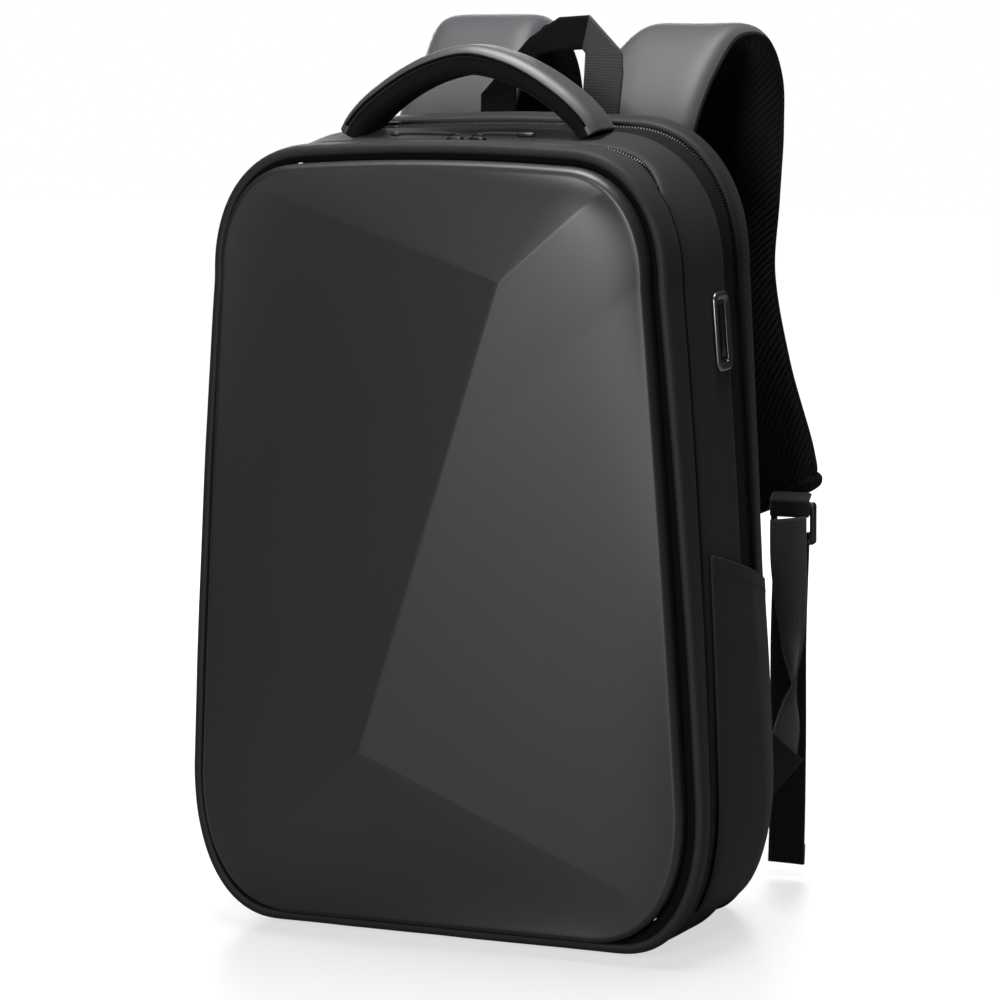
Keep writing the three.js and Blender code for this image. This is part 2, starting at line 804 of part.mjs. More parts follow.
function strapRows(side) {
  const shares = side > 0 ? strapShares.right : strapShares.left;
  const seat = panelRear + gap * 2 + shares[0].thick * strapThick / 2;
  return shares.map(({ across, back, up, wide, thick }) => ({
    x: across * halfWidth,
    y: seat + back * strapReach,
    z: blend(strapEnd, bodyHeight + strapRise, up),
    wide: wide * strapWide,
    thick: thick * strapThick,
  }));
}

function strapRings(side, sectionOf) {
  const stations = pathStations(strapRows(side), strapCount);
  return mirrored(sweep(stations, () => new THREE.Vector3(1, 0, 0), sectionOf), side);
}

function strapCover(name, side) {
  const rings = strapRings(side, ({ wide, thick }) => {
    return coverSection(wide / 2, thick / 2, strapCloth, strapCloth * 1.4);
  });
  return piece(name, loft(rings, "strips"), 0x4a4c50, 0.8, 0);
}

function strapPadding(name, side) {
  const rings = strapRings(side, ({ wide, thick }) => {
    return paddingSection(wide / 2, thick / 2 - strapCloth - strapGap, -thick / 2, strapCloth * 1.2);
  });
  return piece(name, loft(rings, "caps"), 0x121214, 0.95, 0);
}

// The buckle: a plastic frame with one wide slot, on the front of the strap's end.
function lockPlace(side) {
  const end = strapRows(side).pop();
  return {
    x: end.x + lockOut,
    y: end.y - end.thick / 2 - gap - lockThick,
    low: end.z - lockDrop - lockTall / 2,
  };
}

function ladderLock(name, side) {
  const place = lockPlace(side);
  const slotTall = lockTall - lockBar * 4.5;
  const ring = (width, height, depth) => roundedRing(width, height, lockBar * 0.6, 1).map(([a, b]) => {
    return point(place.x + a, place.y + depth, place.low + lockTall / 2 + b);
  });
  const rings = [
    ring(lockWide, lockTall, 0),
    ring(lockWide, lockTall, lockThick),
    ring(lockWide - lockBar * 2, slotTall, lockThick),
    ring(lockWide - lockBar * 2, slotTall, 0),
  ];
  return piece(name, loft(mirrored(rings, side), "loop"), 0x0c0c0e, 0.5, 0);
}

// A flat strip of webbing. turn is the angle of its width from the x axis, in degrees.
function webbing(name, rows, side) {
  const axis = ({ turn }) => {
    const angle = turn * Math.PI / 180;
    return new THREE.Vector3(Math.cos(angle), Math.sin(angle), 0);
  };
  const rings = sweep(pathStations(rows, 11), axis, () => [
    [-webWide / 2, tape / 2],
    [webWide / 2, tape / 2],
    [webWide / 2, -tape / 2],
    [-webWide / 2, -tape / 2],
  ]);
  return piece(name, loft(mirrored(rings, side), "caps"), 0x222427, 0.85, 0);
}

// The free end hangs from the front of the buckle to just above the floor, in shares of its
// fall, its drift outwards and its swing towards the bag.
const tailShares = [
  { down: 0, drift: 0, swing: 0 },
  { down: 0.296, drift: -0.1, swing: 0.33 },
  { down: 0.614, drift: 0.65, swing: 0.66 },
  { down: 0.878, drift: 1, swing: 0.93 },
  { down: 1, drift: 0.8, swing: 1 },
];
const tailFront = (place) => place.y - gap - tape / 2;

function tailRows(side) {
  const place = lockPlace(side);
  return tailShares.map(({ down, drift, swing }) => ({
    x: place.x + drift * tailDrift,
    y: tailFront(place) - swing * tailSwing,
    z: blend(place.low + webTuck, floor + tailEnd, down),
    turn: 0,
  }));
}

// The other strip runs from the buckle to the wing tab, bowed outwards and turned on the way.
const anchorShares = [
  { along: 0, bowX: 0, bowY: 0, turn: 0 },
  { along: 0.376, bowX: -0.55, bowY: 0.74, turn: 20 },
  { along: 0.708, bowX: -0.525, bowY: 0.98, turn: 75 },
  { along: 0.905, bowX: -0.15, bowY: 0.33, turn: 110 },
  { along: 1, bowX: 0, bowY: 0, turn: 120 },
];

function anchorRows(side) {
  const place = lockPlace(side);
  const start = point(place.x, tailFront(place) - tape - gap, place.low + webTuck + 1);
  const end = wingTip().add(new THREE.Vector3(0, 0, gap * 4));
  return anchorShares.map(({ along, bowX, bowY, turn }) => {
    const at = start.clone().lerp(end, along);
    return { x: at.x + bowX * anchorBow, y: at.y + baseCentre + bowY * anchorBow, z: at.z, turn };
  });
}

// The wing tab: a triangle of doubled cloth with its long side on the rear seam.
const wingSeam = (height) => sidePoint(bodyDepth - cloth * 0.58, height, -gap * 1.5);

function wingTip() {
  const low = wingSeam(wingHeight - wingHalf);
  const high = wingSeam(wingHeight + wingHalf);
  return low.add(high).multiplyScalar(0.5).add(new THREE.Vector3(wingOut, wingBack, 0));
}

function wingTab(name, side) {
  const across = new THREE.Vector3(wingBack, -wingOut, 0).normalize().multiplyScalar(wingThick);
  const rear = [wingSeam(wingHeight - wingHalf), wingSeam(wingHeight + wingHalf), wingTip()];
  const front = rear.map((corner) => corner.clone().add(across));
  return piece(name, loft(mirrored([front, rear], side), "caps"), 0x1e2023, 0.85, 0);
}

// Sliders of the zips and their cord pulls, laid along the top.
const frontSliders = [
  { name: "a", at: 0, turn: -1, cord: 1, knob: 1 },
  { name: "b", at: 1, turn: 1, cord: 0.71, knob: 2 },
];
const frontZipY = zipFront + (zipTape + rimBack + zipBack) / 2;

function boxPiece(name, centre, size, colour, roughness, metalness) {
  const geometry = new THREE.BoxGeometry(size[0], size[1], size[2]);
  geometry.translate(centre.x, centre.y, centre.z);
  return piece(name, geometry, colour, roughness, metalness);
}

function frontSlider({ name, at }) {
  const x = at * sliderApart;
  const centre = point(x, frontZipY, topHeight(0, frontZipY) - zipSunk + gap + sliderTall / 2);
  return boxPiece(`front_slider_${name}`, centre, [sliderLong, sliderWide, sliderTall], 0x55585c, 0.4, 0.8);
}

function frontPull({ name, at, turn, cord, knob }) {
  const start = at * sliderApart + turn * (sliderLong / 2 + gap);
  const bend = start + turn * cord * pullCord;
  const z = topHeight(0, frontZipY) + pullThin + pullThick;
  const rows = [
    { x: start, y: frontZipY, z, radius: pullThin },
    { x: blend(start, bend, 0.4), y: frontZipY - pullThin, z: z + gap, radius: pullThin },
    { x: bend, y: frontZipY - pullThin * 1.5, z, radius: pullThin },
    { x: bend + turn * pullThin, y: frontZipY - pullThin * 1.6, z, radius: pullThick },
    { x: bend + turn * knob * pullKnob, y: frontZipY - pullThick, z, radius: pullThick },
  ];
  const rings = sweep(pathStations(rows, 9), () => new THREE.Vector3(0, 1, 0), ({ radius }) => {
    return [0, 1, 2, 3, 4, 5].map((i) => {
      const angle = i * Math.PI / 3;
      return [radius * Math.cos(angle), radius * Math.sin(angle)];
    });
  });
  return piece(`front_pull_${name}`, loft(rings, "caps"), 0x1c1d20, 0.7, 0);
}

function rearSlider() {
  const size = [sliderLong * 1.3, sliderWide * 1.2, sliderTall * 0.8];
  const y = recessEnd - rearSliderBeforeEdge;
  const z = topHeight(rearSliderAt - size[0] / 2, y) - foldStep * 0.83 + gap + size[2] / 2;
  return boxPiece("rear_slider", point(-rearSliderAt, y, z), size, 0x55585c, 0.4, 0.8);
}

const group = new THREE.Group();
group.name = "laptop_backpack";
group.add(frontShell(), shellBinding(), frontRim(), frontZip(), mainGusset(), rearZip(), rearGusset(), backPanel());
group.add(portSurround(), portSlot(), handleCover(), handlePadding(), haulLoop(), rearSlider());
for (const row of frontSliders) group.add(frontSlider(row), frontPull(row));
for (const [label, side] of [["right", 1], ["left", -1]]) {
  group.add(
    sidePocket(`side_pocket_${label}`, side),
    strapCover(`strap_cover_${label}`, side),
    strapPadding(`strap_padding_${label}`, side),
    ladderLock(`ladder_lock_${label}`, side),
    webbing(`tail_webbing_${label}`, tailRows(side), side),
    webbing(`anchor_webbing_${label}`, anchorRows(side), side),
    wingTab(`wing_tab_${label}`, side),
  );
}

export default group;
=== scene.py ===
import math

import bpy
from mathutils import Matrix, Vector, noise


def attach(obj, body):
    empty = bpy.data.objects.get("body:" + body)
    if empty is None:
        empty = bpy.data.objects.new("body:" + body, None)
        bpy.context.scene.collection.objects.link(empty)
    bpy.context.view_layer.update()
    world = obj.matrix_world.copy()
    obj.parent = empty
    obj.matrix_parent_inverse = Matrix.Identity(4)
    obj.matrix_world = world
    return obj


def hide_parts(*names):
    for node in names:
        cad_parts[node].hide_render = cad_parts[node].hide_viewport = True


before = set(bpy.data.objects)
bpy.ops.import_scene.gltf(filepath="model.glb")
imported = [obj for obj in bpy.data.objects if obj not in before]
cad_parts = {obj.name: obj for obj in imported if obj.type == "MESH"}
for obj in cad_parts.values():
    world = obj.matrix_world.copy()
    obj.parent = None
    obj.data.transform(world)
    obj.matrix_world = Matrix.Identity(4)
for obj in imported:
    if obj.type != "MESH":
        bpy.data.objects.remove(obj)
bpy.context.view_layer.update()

# Sizes of the bag in millimetres, as the frame was made. y runs back from the groove.
BODY_WIDTH = 302
TOP_WIDTH = 274
BODY_HEIGHT = 445
RIM_DEPTH = 19
MAIN_DEPTH = 55
RECESS_DEPTH = 40
REAR_DEPTH = 24
LOW_HEIGHT = 85
LOW_CORNER = 52
HIGH_CORNER = 62
CORNER_DROP = 79
SIDE_BOW = 2
FRONT_LIFT = 3
CROWN = 6.6
CORNER_POWER = 2.3
CLOTH = 2.6
PADDING = 4.5
TAPE = 1.8
GAP = 0.35
PUFF = 0.6
FOLD_STEP = 3.6
ZIP_SUNK = 1.4
RIM_BACK = 9
ZIP_BACK = 15
SHELL_RISE = 25
EDGE_DEEP = 8.2
EDGE_WIDE = 3.8
GROOVE = 9.4
LIP = 2.9
BACK_DOME = 7
HALF_WIDTH = BODY_WIDTH / 2
HALF_TOP = TOP_WIDTH / 2
FOLD_AT = RIM_DEPTH + MAIN_DEPTH
RECESS_END = FOLD_AT + RECESS_DEPTH
BODY_DEPTH = RECESS_END + REAR_DEPTH
BASE_CENTRE = BODY_DEPTH / 2
MM = 0.001

# Outlines at a few depths, in shares: y, low, high, bow, lift, top, low run, high run, drop.
SECTION_SHARES = [
    (RIM_DEPTH * 0.32, 1.001, 0.961, 0.75, 1, 0.9744, 1, 0.903, 0.861),
    (RIM_DEPTH, 0.981, 0.981, 1, 0.167, 0.9739, 1, 0.903, 0.848),
    (FOLD_AT - MAIN_DEPTH * 0.53, 0.991, 0.993, 1, 0, 0.9757, 0.96, 0.935, 0.861),
    (FOLD_AT, 0.996, 1, 1, 0, 0.9854, 0.885, 1, 0.911),
    (RECESS_END, 0.971, 0.975, 0.7, 0, 0.9964, 0.69, 1, 0.975),
    (BODY_DEPTH, 0.937, 0.956, 0.4, 0.333, 1, 0.654, 1, 1),
]
SECTION_SIZES = (1, HALF_WIDTH, HALF_TOP, SIDE_BOW, FRONT_LIFT, BODY_HEIGHT)
SECTION_SIZES += (LOW_CORNER, HIGH_CORNER, CORNER_DROP)
SECTIONS = [tuple(share * size for share, size in zip(row, SECTION_SIZES)) for row in SECTION_SHARES]
SHELL_SECTION = (
    0,
    SECTIONS[0][1] - GROOVE * 1.106,
    SECTIONS[0][2] - GROOVE * 0.96,
    SIDE_BOW * 0.4,
    SECTIONS[0][4] + GROOVE * 0.8,
    SECTIONS[0][5] - GROOVE,
    LOW_CORNER * 1.038,
    HIGH_CORNER * 0.726,
    CORNER_DROP * 0.734,
)

# The outline's path has five stretches on each half, and these are the steps at their ends.
BASE_END, LOW_END, SIDE_END, HIGH_END, HALF_STEPS = 2, 8, 12, 18, 21
TURNS = ((BASE_END, LOW_END), (SIDE_END, HIGH_END))
FINE = 5


def clamp01(value):
    return min(1.0, max(0.0, value))


def blend(a, b, share):
    return a + (b - a) * share


def ease(low, high, value):
    t = clamp01((value - low) / (high - low))
    return t * t * (3 - 2 * t)


def section_at(y):
    if y <= SECTIONS[0][0]:
        return SECTIONS[0]
    for before, after in zip(SECTIONS, SECTIONS[1:]):
        if y <= after[0]:
            share = (y - before[0]) / (after[0] - before[0])
            return tuple(blend(a, b, share) for a, b in zip(before, after))
    return SECTIONS[-1]


def corner_point(centre_x, centre_z, run, rise, angle):
    power = 2 / CORNER_POWER
    sine = math.sin(angle)
    x = centre_x + run * max(0.0, math.cos(angle)) ** power
    return x, centre_z + math.copysign(rise * abs(sine) ** power, sine)


def outline_point(section, grow, step):
    """A point of the outline, by its step from the middle of the base up the right side."""
    _, low, high, bow, base, top, low_run, high_run, drop = section
    low, high, low_run, high_run = (value + grow for value in (low, high, low_run, high_run))
    base -= grow
    shoulder = top - CROWN - drop
    drop += grow
    side = 1
    if step > HALF_STEPS:
        step = 2 * HALF_STEPS - step
        side = -1
    if step <= BASE_END:
        x, z = (low - low_run) * step / BASE_END, base
    elif step <= LOW_END:
        angle = -math.pi / 2 * (1 - (step - BASE_END) / (LOW_END - BASE_END))
        x, z = corner_point(low - low_run, LOW_HEIGHT, low_run, LOW_HEIGHT - base, angle)
    elif step <= SIDE_END:
        t = (step - LOW_END) / (SIDE_END - LOW_END)
        x, z = blend(low, high, t) + bow * 4 * t * (1 - t), blend(LOW_HEIGHT, shoulder, t)
    elif step <= HIGH_END:
        angle = math.pi / 2 * (step - SIDE_END) / (HIGH_END - SIDE_END)
        x, z = corner_point(high - high_run, shoulder, high_run, drop, angle)
    else:
        x, z = (high - high_run) * (1 - (step - HIGH_END) / (HALF_STEPS - HIGH_END)), shoulder + drop
    lift = ease(shoulder, shoulder + drop, z)
    z += CROWN * lift * (1 - (x / high) ** 2)
    return side * x, max(0.0, z)


def outline_steps():
    """Steps all round, closer together in the corners."""
    half = []
    ends = (0, BASE_END, LOW_END, SIDE_END, HIGH_END, HALF_STEPS)
    for start, end in zip(ends, ends[1:]):
        count = (end - start) * (FINE if (start, end) in TURNS else FINE * 2)
        half += [start + (end - start) * i / count for i in range(count)]
    return half + [HALF_STEPS] + [2 * HALF_STEPS - step for step in reversed(half[1:])]


STEPS = outline_steps()


def outline(section, grow, steps=STEPS):
    return [outline_point(section, grow, step) for step in steps]


def to_row(x, y, z):
    return Vector((x, y - BASE_CENTRE, z)) * MM


def band_back(z):
    return ease(BODY_HEIGHT - 40, BODY_HEIGHT - 21, z)


def body_point(step, y, out, top_back=0):
    x, z = outline_point(section_at(y), out, step)
    back = top_back * band_back(z)
    if back:
        x, z = outline_point(section_at(y + back), out, step)
    return Vector((x, y + back, z))


def step_where(section, out, start, before):
    """The last step up the right side, from a start, whose point passes a test."""
    low, high = float(start), float(HALF_STEPS)
    for _ in range(40):
        middle = (low + high) / 2
        if before(*outline_point(section, out, middle)):
            low = middle
        else:
            high = middle
    return low


def side_point(y, height, out, side=1):
    """A point on a side of the body at a height."""
    section = section_at(y)
    step = step_where(section, out, BASE_END, lambda _, z: z < height)
    return Vector((side * outline_point(section, out, step)[0], y, height))


def top_point(x, y, out=0):
    """A point on the top of the body."""
    section = section_at(y)
    step = step_where(section, out, SIDE_END, lambda at, _: at > abs(x))
    return Vector((x, y, outline_point(section, out, step)[1]))


# Meshes. Points are in millimetres until they are stored. Every mesh has a metric map, so
# that weaves lie along it at their true size.
def store(name, points, faces, face_uvs, material, smooth=True):
    mesh = bpy.data.meshes.new(name)
    mesh.from_pydata([to_row(*p) for p in points], [], faces)
    layer = mesh.uv_layers.new(name="metric")
    for polygon, uvs in zip(mesh.polygons, face_uvs):
        for loop, uv in zip(polygon.loop_indices, uvs):
            layer.data[loop].uv = (uv[0] * MM, uv[1] * MM)
    for polygon in mesh.polygons:
        polygon.use_smooth = smooth
    mesh.materials.append(material)
    piece = bpy.data.objects.new(name, mesh)
    bpy.context.scene.collection.objects.link(piece)
    return piece


def running(points):
    """Distances along a row of points."""
    out = [0.0]
    for a, b in zip(points, points[1:]):
        out.append(out[-1] + (b - a).length)
    return out


def loft(name, rings, material, ends="caps", smooth=True):
    """A skin over rings of equal count. ends is loop, caps or open."""
    count = len(rings[0])
    rows = len(rings)
    points = [p for ring in rings for p in ring]
    around = max((running(ring + [ring[0]]) for ring in rings), key=lambda row: row[-1])
    along = [0.0]
    for a, b in zip(rings, rings[1:] + [rings[0]]):
        along.append(along[-1] + sum((q - p).length for p, q in zip(a, b)) / count)
    faces, uvs = [], []
    pairs = [(j, (j + 1) % rows) for j in range(rows if ends == "loop" else rows - 1)]
    for j, k in pairs:
        for i in range(count):
            n = (i + 1) % count
            faces.append((j * count + i, j * count + n, k * count + n, k * count + i))
            u, w = around[i], around[i + 1]
            uvs.append(((u, along[j]), (w, along[j]), (w, along[j + 1]), (u, along[j + 1])))
    if ends == "caps":
        for j, turn in ((0, True), (rows - 1, False)):
            ring = rings[j]
            centre = sum(ring, Vector()) / count
            points.append(centre)
            middle = len(points) - 1
            for i in range(count):
                n = (i + 1) % count
                face = (j * count + i, j * count + n, middle)
                corners = (ring[i], ring[n], centre)
                flat = [((p - centre).x + (p - centre).y, (p - centre).z) for p in corners]
                faces.append(tuple(reversed(face)) if turn else face)
                uvs.append(tuple(reversed(flat)) if turn else tuple(flat))
    piece = store(name, points, faces, uvs, material, smooth)
    face_out(piece)
    return piece


def face_out(piece):
    """Turns the faces outwards."""
    mesh = piece.data
    volume = 0.0
    for polygon in mesh.polygons:
        a = mesh.vertices[polygon.vertices[0]].co
        for i in range(1, len(polygon.vertices) - 1):
            b = mesh.vertices[polygon.vertices[i]].co
            c = mesh.vertices[polygon.vertices[i + 1]].co
            volume += a.dot(b.cross(c))
    if volume < 0:
        mesh.flip_normals()


def grid(name, rows, material, thick=0, subdivide=0, smooth=True, offset=-1):
    """A sheet over rows of points, given a thickness on the far side of its face."""
    count = len(rows[0])
    points = [p for row in rows for p in row]
    across = max((running(row) for row in rows), key=lambda row: row[-1])
    along = running([row[count // 2] for row in rows])
    faces, uvs = [], []
    for j in range(len(rows) - 1):
        for i in range(count - 1):
            a = j * count + i
            faces.append((a, a + 1, a + count + 1, a + count))
            corners = ((i, j), (i + 1, j), (i + 1, j + 1), (i, j + 1))
            uvs.append(tuple((across[c], along[r]) for c, r in corners))
    piece = store(name, points, faces, uvs, material, smooth)
    if thick:
        solid = piece.modifiers.new("thick", "SOLIDIFY")
        solid.thickness = thick * MM
        solid.offset = offset
    if subdivide:
        soften(piece, subdivide)
    return piece


def soften(piece, levels):
    soft = piece.modifiers.new("soft", "SUBSURF")
    soft.levels = levels
    soft.render_levels = levels
    return piece


def place(piece, slot, *nodes):
    """Puts a piece on the body and hides the CAD nodes that it stands for; its slot is not used."""
    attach(piece, "root")
    if nodes:
        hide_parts(*nodes)
    return piece


# Bars laid one after another along a path, for stitches and zip teeth. A corner of a bar is its
# place along, across and up, and how far it is pinched in along the bar.
BAR_CORNERS = (
    (-1, -1, 0, 0.7), (1, -1, 0, 0.7), (1, 1, 0, 0.7), (-1, 1, 0, 0.7),
    (-0.6, -0.6, 1, 1), (0.6, -0.6, 1, 1), (0.6, 0.6, 1, 1), (-0.6, 0.6, 1, 1),
)
BAR_FACES = ((0, 1, 2, 3), (4, 5, 6, 7), (0, 1, 5, 4), (1, 2, 6, 5), (2, 3, 7, 6), (3, 0, 4, 7))


def bars(name, path, material, pitch, size, sink=0.0):
    """path holds (point, normal) pairs. size is the length along, the width and the height."""
    points, faces, uvs = [], [], []
    lengths = running([p for p, _ in path])
    long, broad, tall = (v / 2 for v in size)
    k = 0
    for n in range(int(lengths[-1] / pitch)):
        at = (n + 0.5) * pitch
        while k < len(path) - 2 and lengths[k + 1] < at:
            k += 1
        share = (at - lengths[k]) / max(1e-6, lengths[k + 1] - lengths[k])
        centre = path[k][0].lerp(path[k + 1][0], share)
        normal = path[k][1].lerp(path[k + 1][1], share).normalized()
        ahead = (path[k + 1][0] - path[k][0]).normalized()
        wide = normal.cross(ahead).normalized()
        start = len(points)
        for a, b, c, pinch in BAR_CORNERS:
            offset = ahead * (a * long * pinch) + wide * (b * broad) + normal * (c * tall * 2 - sink)
            points.append(centre + offset)
        for face in BAR_FACES:
            faces.append(tuple(start + i for i in face))
            uvs.append(((0, 0), (1, 0), (1, 1), (0, 1)))
    return store(name, points, faces, uvs, material, False)


# Materials.
def new_material(name):
    material = bpy.data.materials.new(name)
    material.use_nodes = True
    tree = material.node_tree
    return material, tree, tree.nodes["Principled BSDF"]


def node(tree, kind, **settings):
    made = tree.nodes.new(kind)
    for key, value in settings.items():
        setattr(made, key, value)
    return made


def socket(tree, target, value):
    if isinstance(value, bpy.types.NodeSocket):
        tree.links.new(value, target)
    else:
        target.default_value = value


def metric_map(tree):
    return node(tree, "ShaderNodeUVMap", uv_map="metric").outputs["UV"]


def maths(tree, operation, a, b):
    made = node(tree, "ShaderNodeMath", operation=operation)
    socket(tree, made.inputs[0], a)
    socket(tree, made.inputs[1], b)
    return made.outputs[0]


def weighted(tree, *terms):
    """Adds up maps, each with its share."""
    total = None
    for value, share in terms:
        part = value if share == 1 else maths(tree, "MULTIPLY", value, share)
        total = part if total is None else maths(tree, "ADD", total, part)
    return total


def dress(shader, **values):
    """Sets plain values on the shader's own sockets."""
    for name, value in values.items():
        shader.inputs[name.replace("_", " ")].default_value = value


def wave(tree, vector, direction, period_mm, distortion=0.0):
    made = node(tree, "ShaderNodeTexWave", wave_type="BANDS", bands_direction=direction)
    socket(tree, made.inputs["Vector"], vector)
    made.inputs["Scale"].default_value = 314 / period_mm
    made.inputs["Distortion"].default_value = distortion
    made.inputs["Detail"].default_value = 1
    return made.outputs["Fac"]


def cloud(tree, vector, scale, detail=3):
    made = node(tree, "ShaderNodeTexNoise")
    socket(tree, made.inputs["Vector"], vector)
    made.inputs["Scale"].default_value = scale
    made.inputs["Detail"].default_value = detail
    return made.outputs["Fac"]


def tint(tree, factor, colour, spread):
    """The colour, a little darker and lighter with the factor."""
    ramp = node(tree, "ShaderNodeValToRGB")
    socket(tree, ramp.inputs["Fac"], factor)
    low = tuple(c * (1 - spread) for c in colour)
    high = tuple(c * (1 + spread) for c in colour)
    ramp.color_ramp.elements[0].position = 0.3
    ramp.color_ramp.elements[1].position = 0.7
    ramp.color_ramp.elements[0].color = (*low, 1)
    ramp.color_ramp.elements[1].color = (*high, 1)
    return ramp.outputs["Color"]


def bump(tree, height, strength, distance_mm, shader):
    made = node(tree, "ShaderNodeBump")
    made.inputs["Strength"].default_value = strength
    made.inputs["Distance"].default_value = distance_mm * MM
    socket(tree, made.inputs["Height"], height)
    tree.links.new(made.outputs["Normal"], shader.inputs["Normal"])


def cloth(name, colour, roughness, thread, relief, sheen, spread=0.12, specular=0.3):
    """A plain weave of a thread size in millimetres, with slow shifts of shade."""
    material, tree, shader = new_material(name)
    uv = metric_map(tree)
    space = node(tree, "ShaderNodeTexCoord").outputs["Object"]
    warp = wave(tree, uv, "X", thread * 2, 0.4)
    weft = wave(tree, uv, "Y", thread * 2, 0.4)
    weave = maths(tree, "MULTIPLY", warp, weft)
    fuzz = cloud(tree, uv, 900, 2)
    height = weighted(tree, (weave, 1), (fuzz, 0.5))
    shade = weighted(tree, (cloud(tree, space, 14, 3), 0.6), (height, 0.3))
    socket(tree, shader.inputs["Base Color"], tint(tree, shade, colour, spread))
    dress(shader, Roughness=roughness, Specular_IOR_Level=specular, Sheen_Weight=sheen)
    dress(shader, Sheen_Roughness=0.45, Sheen_Tint=(0.85, 0.9, 1, 1))
    bump(tree, height, relief, thread * 0.35, shader)
    return material


def air_mesh(name, colour, roughness, cell, relief):
    """Knitted mesh: slanting ribs with small holes between them."""
    material, tree, shader = new_material(name)
    uv = metric_map(tree)
    ribs = wave(tree, uv, "DIAGONAL", cell, 0.6)
    rows = wave(tree, uv, "X", cell * 0.6, 0.3)
    height = weighted(tree, (ribs, 1), (rows, 0.5))
    space = node(tree, "ShaderNodeTexCoord").outputs["Object"]
    shade = weighted(tree, (height, 0.5), (cloud(tree, space, 20), 0.2))
    socket(tree, shader.inputs["Base Color"], tint(tree, shade, colour, 0.55))
    dress(shader, Roughness=roughness, Specular_IOR_Level=0.12, Sheen_Weight=0.02)
    bump(tree, height, relief, cell * 0.25, shader)
    return material


def strap_web(name, colour, roughness, sheen=0.15, specular=0.3):
    """Webbing: ribs across, with fine threads along."""
    material, tree, shader = new_material(name)
    uv = metric_map(tree)
    across = wave(tree, uv, "Y", 1.6, 0.3)
    along = wave(tree, uv, "X", 1.1, 0.2)
    height = weighted(tree, (maths(tree, "MULTIPLY", across, along), 1), (cloud(tree, uv, 700), 0.4))
    socket(tree, shader.inputs["Base Color"], tint(tree, height, colour, 0.25))
    dress(shader, Roughness=roughness, Specular_IOR_Level=specular, Sheen_Weight=sheen)
    bump(tree, height, 0.7, 0.35, shader)
    return material


def hard(name, colour, roughness, metallic=0.0, grain=0.15, specular=0.5):
    """Moulded plastic or coated metal with a fine grain."""
    material, tree, shader = new_material(name)
    space = node(tree, "ShaderNodeTexCoord").outputs["Object"]
    fine = cloud(tree, space, 2600, 2)
    slow = cloud(tree, space, 60, 3)
    socket(tree, shader.inputs["Base Color"], tint(tree, slow, colour, 0.08))
    dress(shader, Roughness=roughness, Metallic=metallic, Specular_IOR_Level=specular)
    bump(tree, fine, grain, 0.08, shader)
    return material


def stretched(tree, vector, scale):
    made = node(tree, "ShaderNodeMapping")
    made.inputs["Scale"].default_value = scale
    tree.links.new(vector, made.inputs["Vector"])
    return made.outputs["Vector"]


def shell_finish():
    """Satin film over the moulded front, with a faint brushed weave across it."""
    material, tree, shader = new_material("shell_film")
    space = node(tree, "ShaderNodeTexCoord").outputs["Object"]
    brushed = cloud(tree, stretched(tree, space, (60, 60, 1500)), 1, 3)
    crossed = cloud(tree, stretched(tree, space, (1100, 1100, 90)), 1, 2)
    height = weighted(tree, (brushed, 0.7), (crossed, 0.3))
    shade = weighted(tree, (height, 0.7), (cloud(tree, space, 9), 0.3))
    socket(tree, shader.inputs["Base Color"], tint(tree, shade, SHELL_COLOUR, 0.14))
    dress(shader, Roughness=0.46, Specular_IOR_Level=0.62)
    bump(tree, height, 0.22, 0.12, shader)
    return material


SHELL_COLOUR = (0.0088, 0.0092, 0.0099)
film = shell_finish()
body_cloth = cloth("body_cloth", (0.0125, 0.013, 0.0138), 0.64, 0.45, 0.35, 0.02, specular=0.24)
rear_cloth = cloth("rear_cloth", (0.009, 0.0094, 0.0101), 0.62, 0.45, 0.35, 0.02)
strap_cloth = cloth("strap_cloth", (0.05, 0.051, 0.053), 0.5, 0.5, 0.3, 0.15)
handle_cloth = cloth("handle_cloth", (0.024, 0.0245, 0.0255), 0.52, 0.5, 0.25, 0.05, specular=0.95)
tape_cloth = cloth("tape_cloth", (0.0055, 0.0057, 0.0062), 0.8, 0.6, 0.4, 0, specular=0.12)
binding_cloth = cloth("binding_cloth", (0.002, 0.002, 0.0022), 0.85, 0.6, 0.5, 0, specular=0.08)
mesh_cloth = air_mesh("mesh_cloth", (0.0045, 0.0045, 0.005), 0.8, 2.4, 0.9)
side_mesh = air_mesh("side_mesh", (0.005, 0.0052, 0.0056), 0.8, 1.0, 0.25)
# Lighter copy of the buckle webbing: painted light on the lit lower strand.
web_painted_lit = strap_web("web_painted_lit", (0.0062, 0.0064, 0.0068), 0.75)
haul_web = strap_web("haul_web", (0.036, 0.0367, 0.038), 0.6)
# The next copy of the haul webbing is near-black: painted shade on the top part of the loop, past its fold.
haul_painted_shade = strap_web("haul_painted_shade", (0.004, 0.0042, 0.0046), 0.8, 0.0, 0.1)
# Darker copy of the same buckle webbing: painted shade on the hanging free end. It also colours the band
# under each strap end and the zip pull cords.
web_painted_shade = strap_web("web_painted_shade", (0.0045, 0.0045, 0.005), 0.75)
thread = hard("thread", (0.012, 0.012, 0.013), 0.7, 0, 0.3, 0.2)
black_plastic = hard("black_plastic", (0.008, 0.008, 0.009), 0.38)
port_metal = hard("port_metal", (0.2, 0.205, 0.215), 0.34, 1.0, 0.1)
zip_metal = hard("zip_metal", (0.035, 0.0355, 0.038), 0.45, 1.0, 0.1)
coil = hard("coil", (0.01, 0.01, 0.011), 0.45, 0, 0.2)


# The moulded shell: a rounded edge, then four facets up to a slanting ridge. Each crease is a
# narrow strip, so that it catches the light as a moulded edge does.
RIDGE_HEAD = (0.35 * HALF_TOP, 0.8148 * BODY_HEIGHT)
RIDGE_FOOT = (-0.264 * HALF_TOP, 0.245 * BODY_HEIGHT)
RIDGE_FIRST = 5.0
RIDGE_LAST = 16.0
CREASE = 0.6
CREASE_NEAR = 0.035
FACET_FLAT = 0.6
EDGE_ROWS = 9


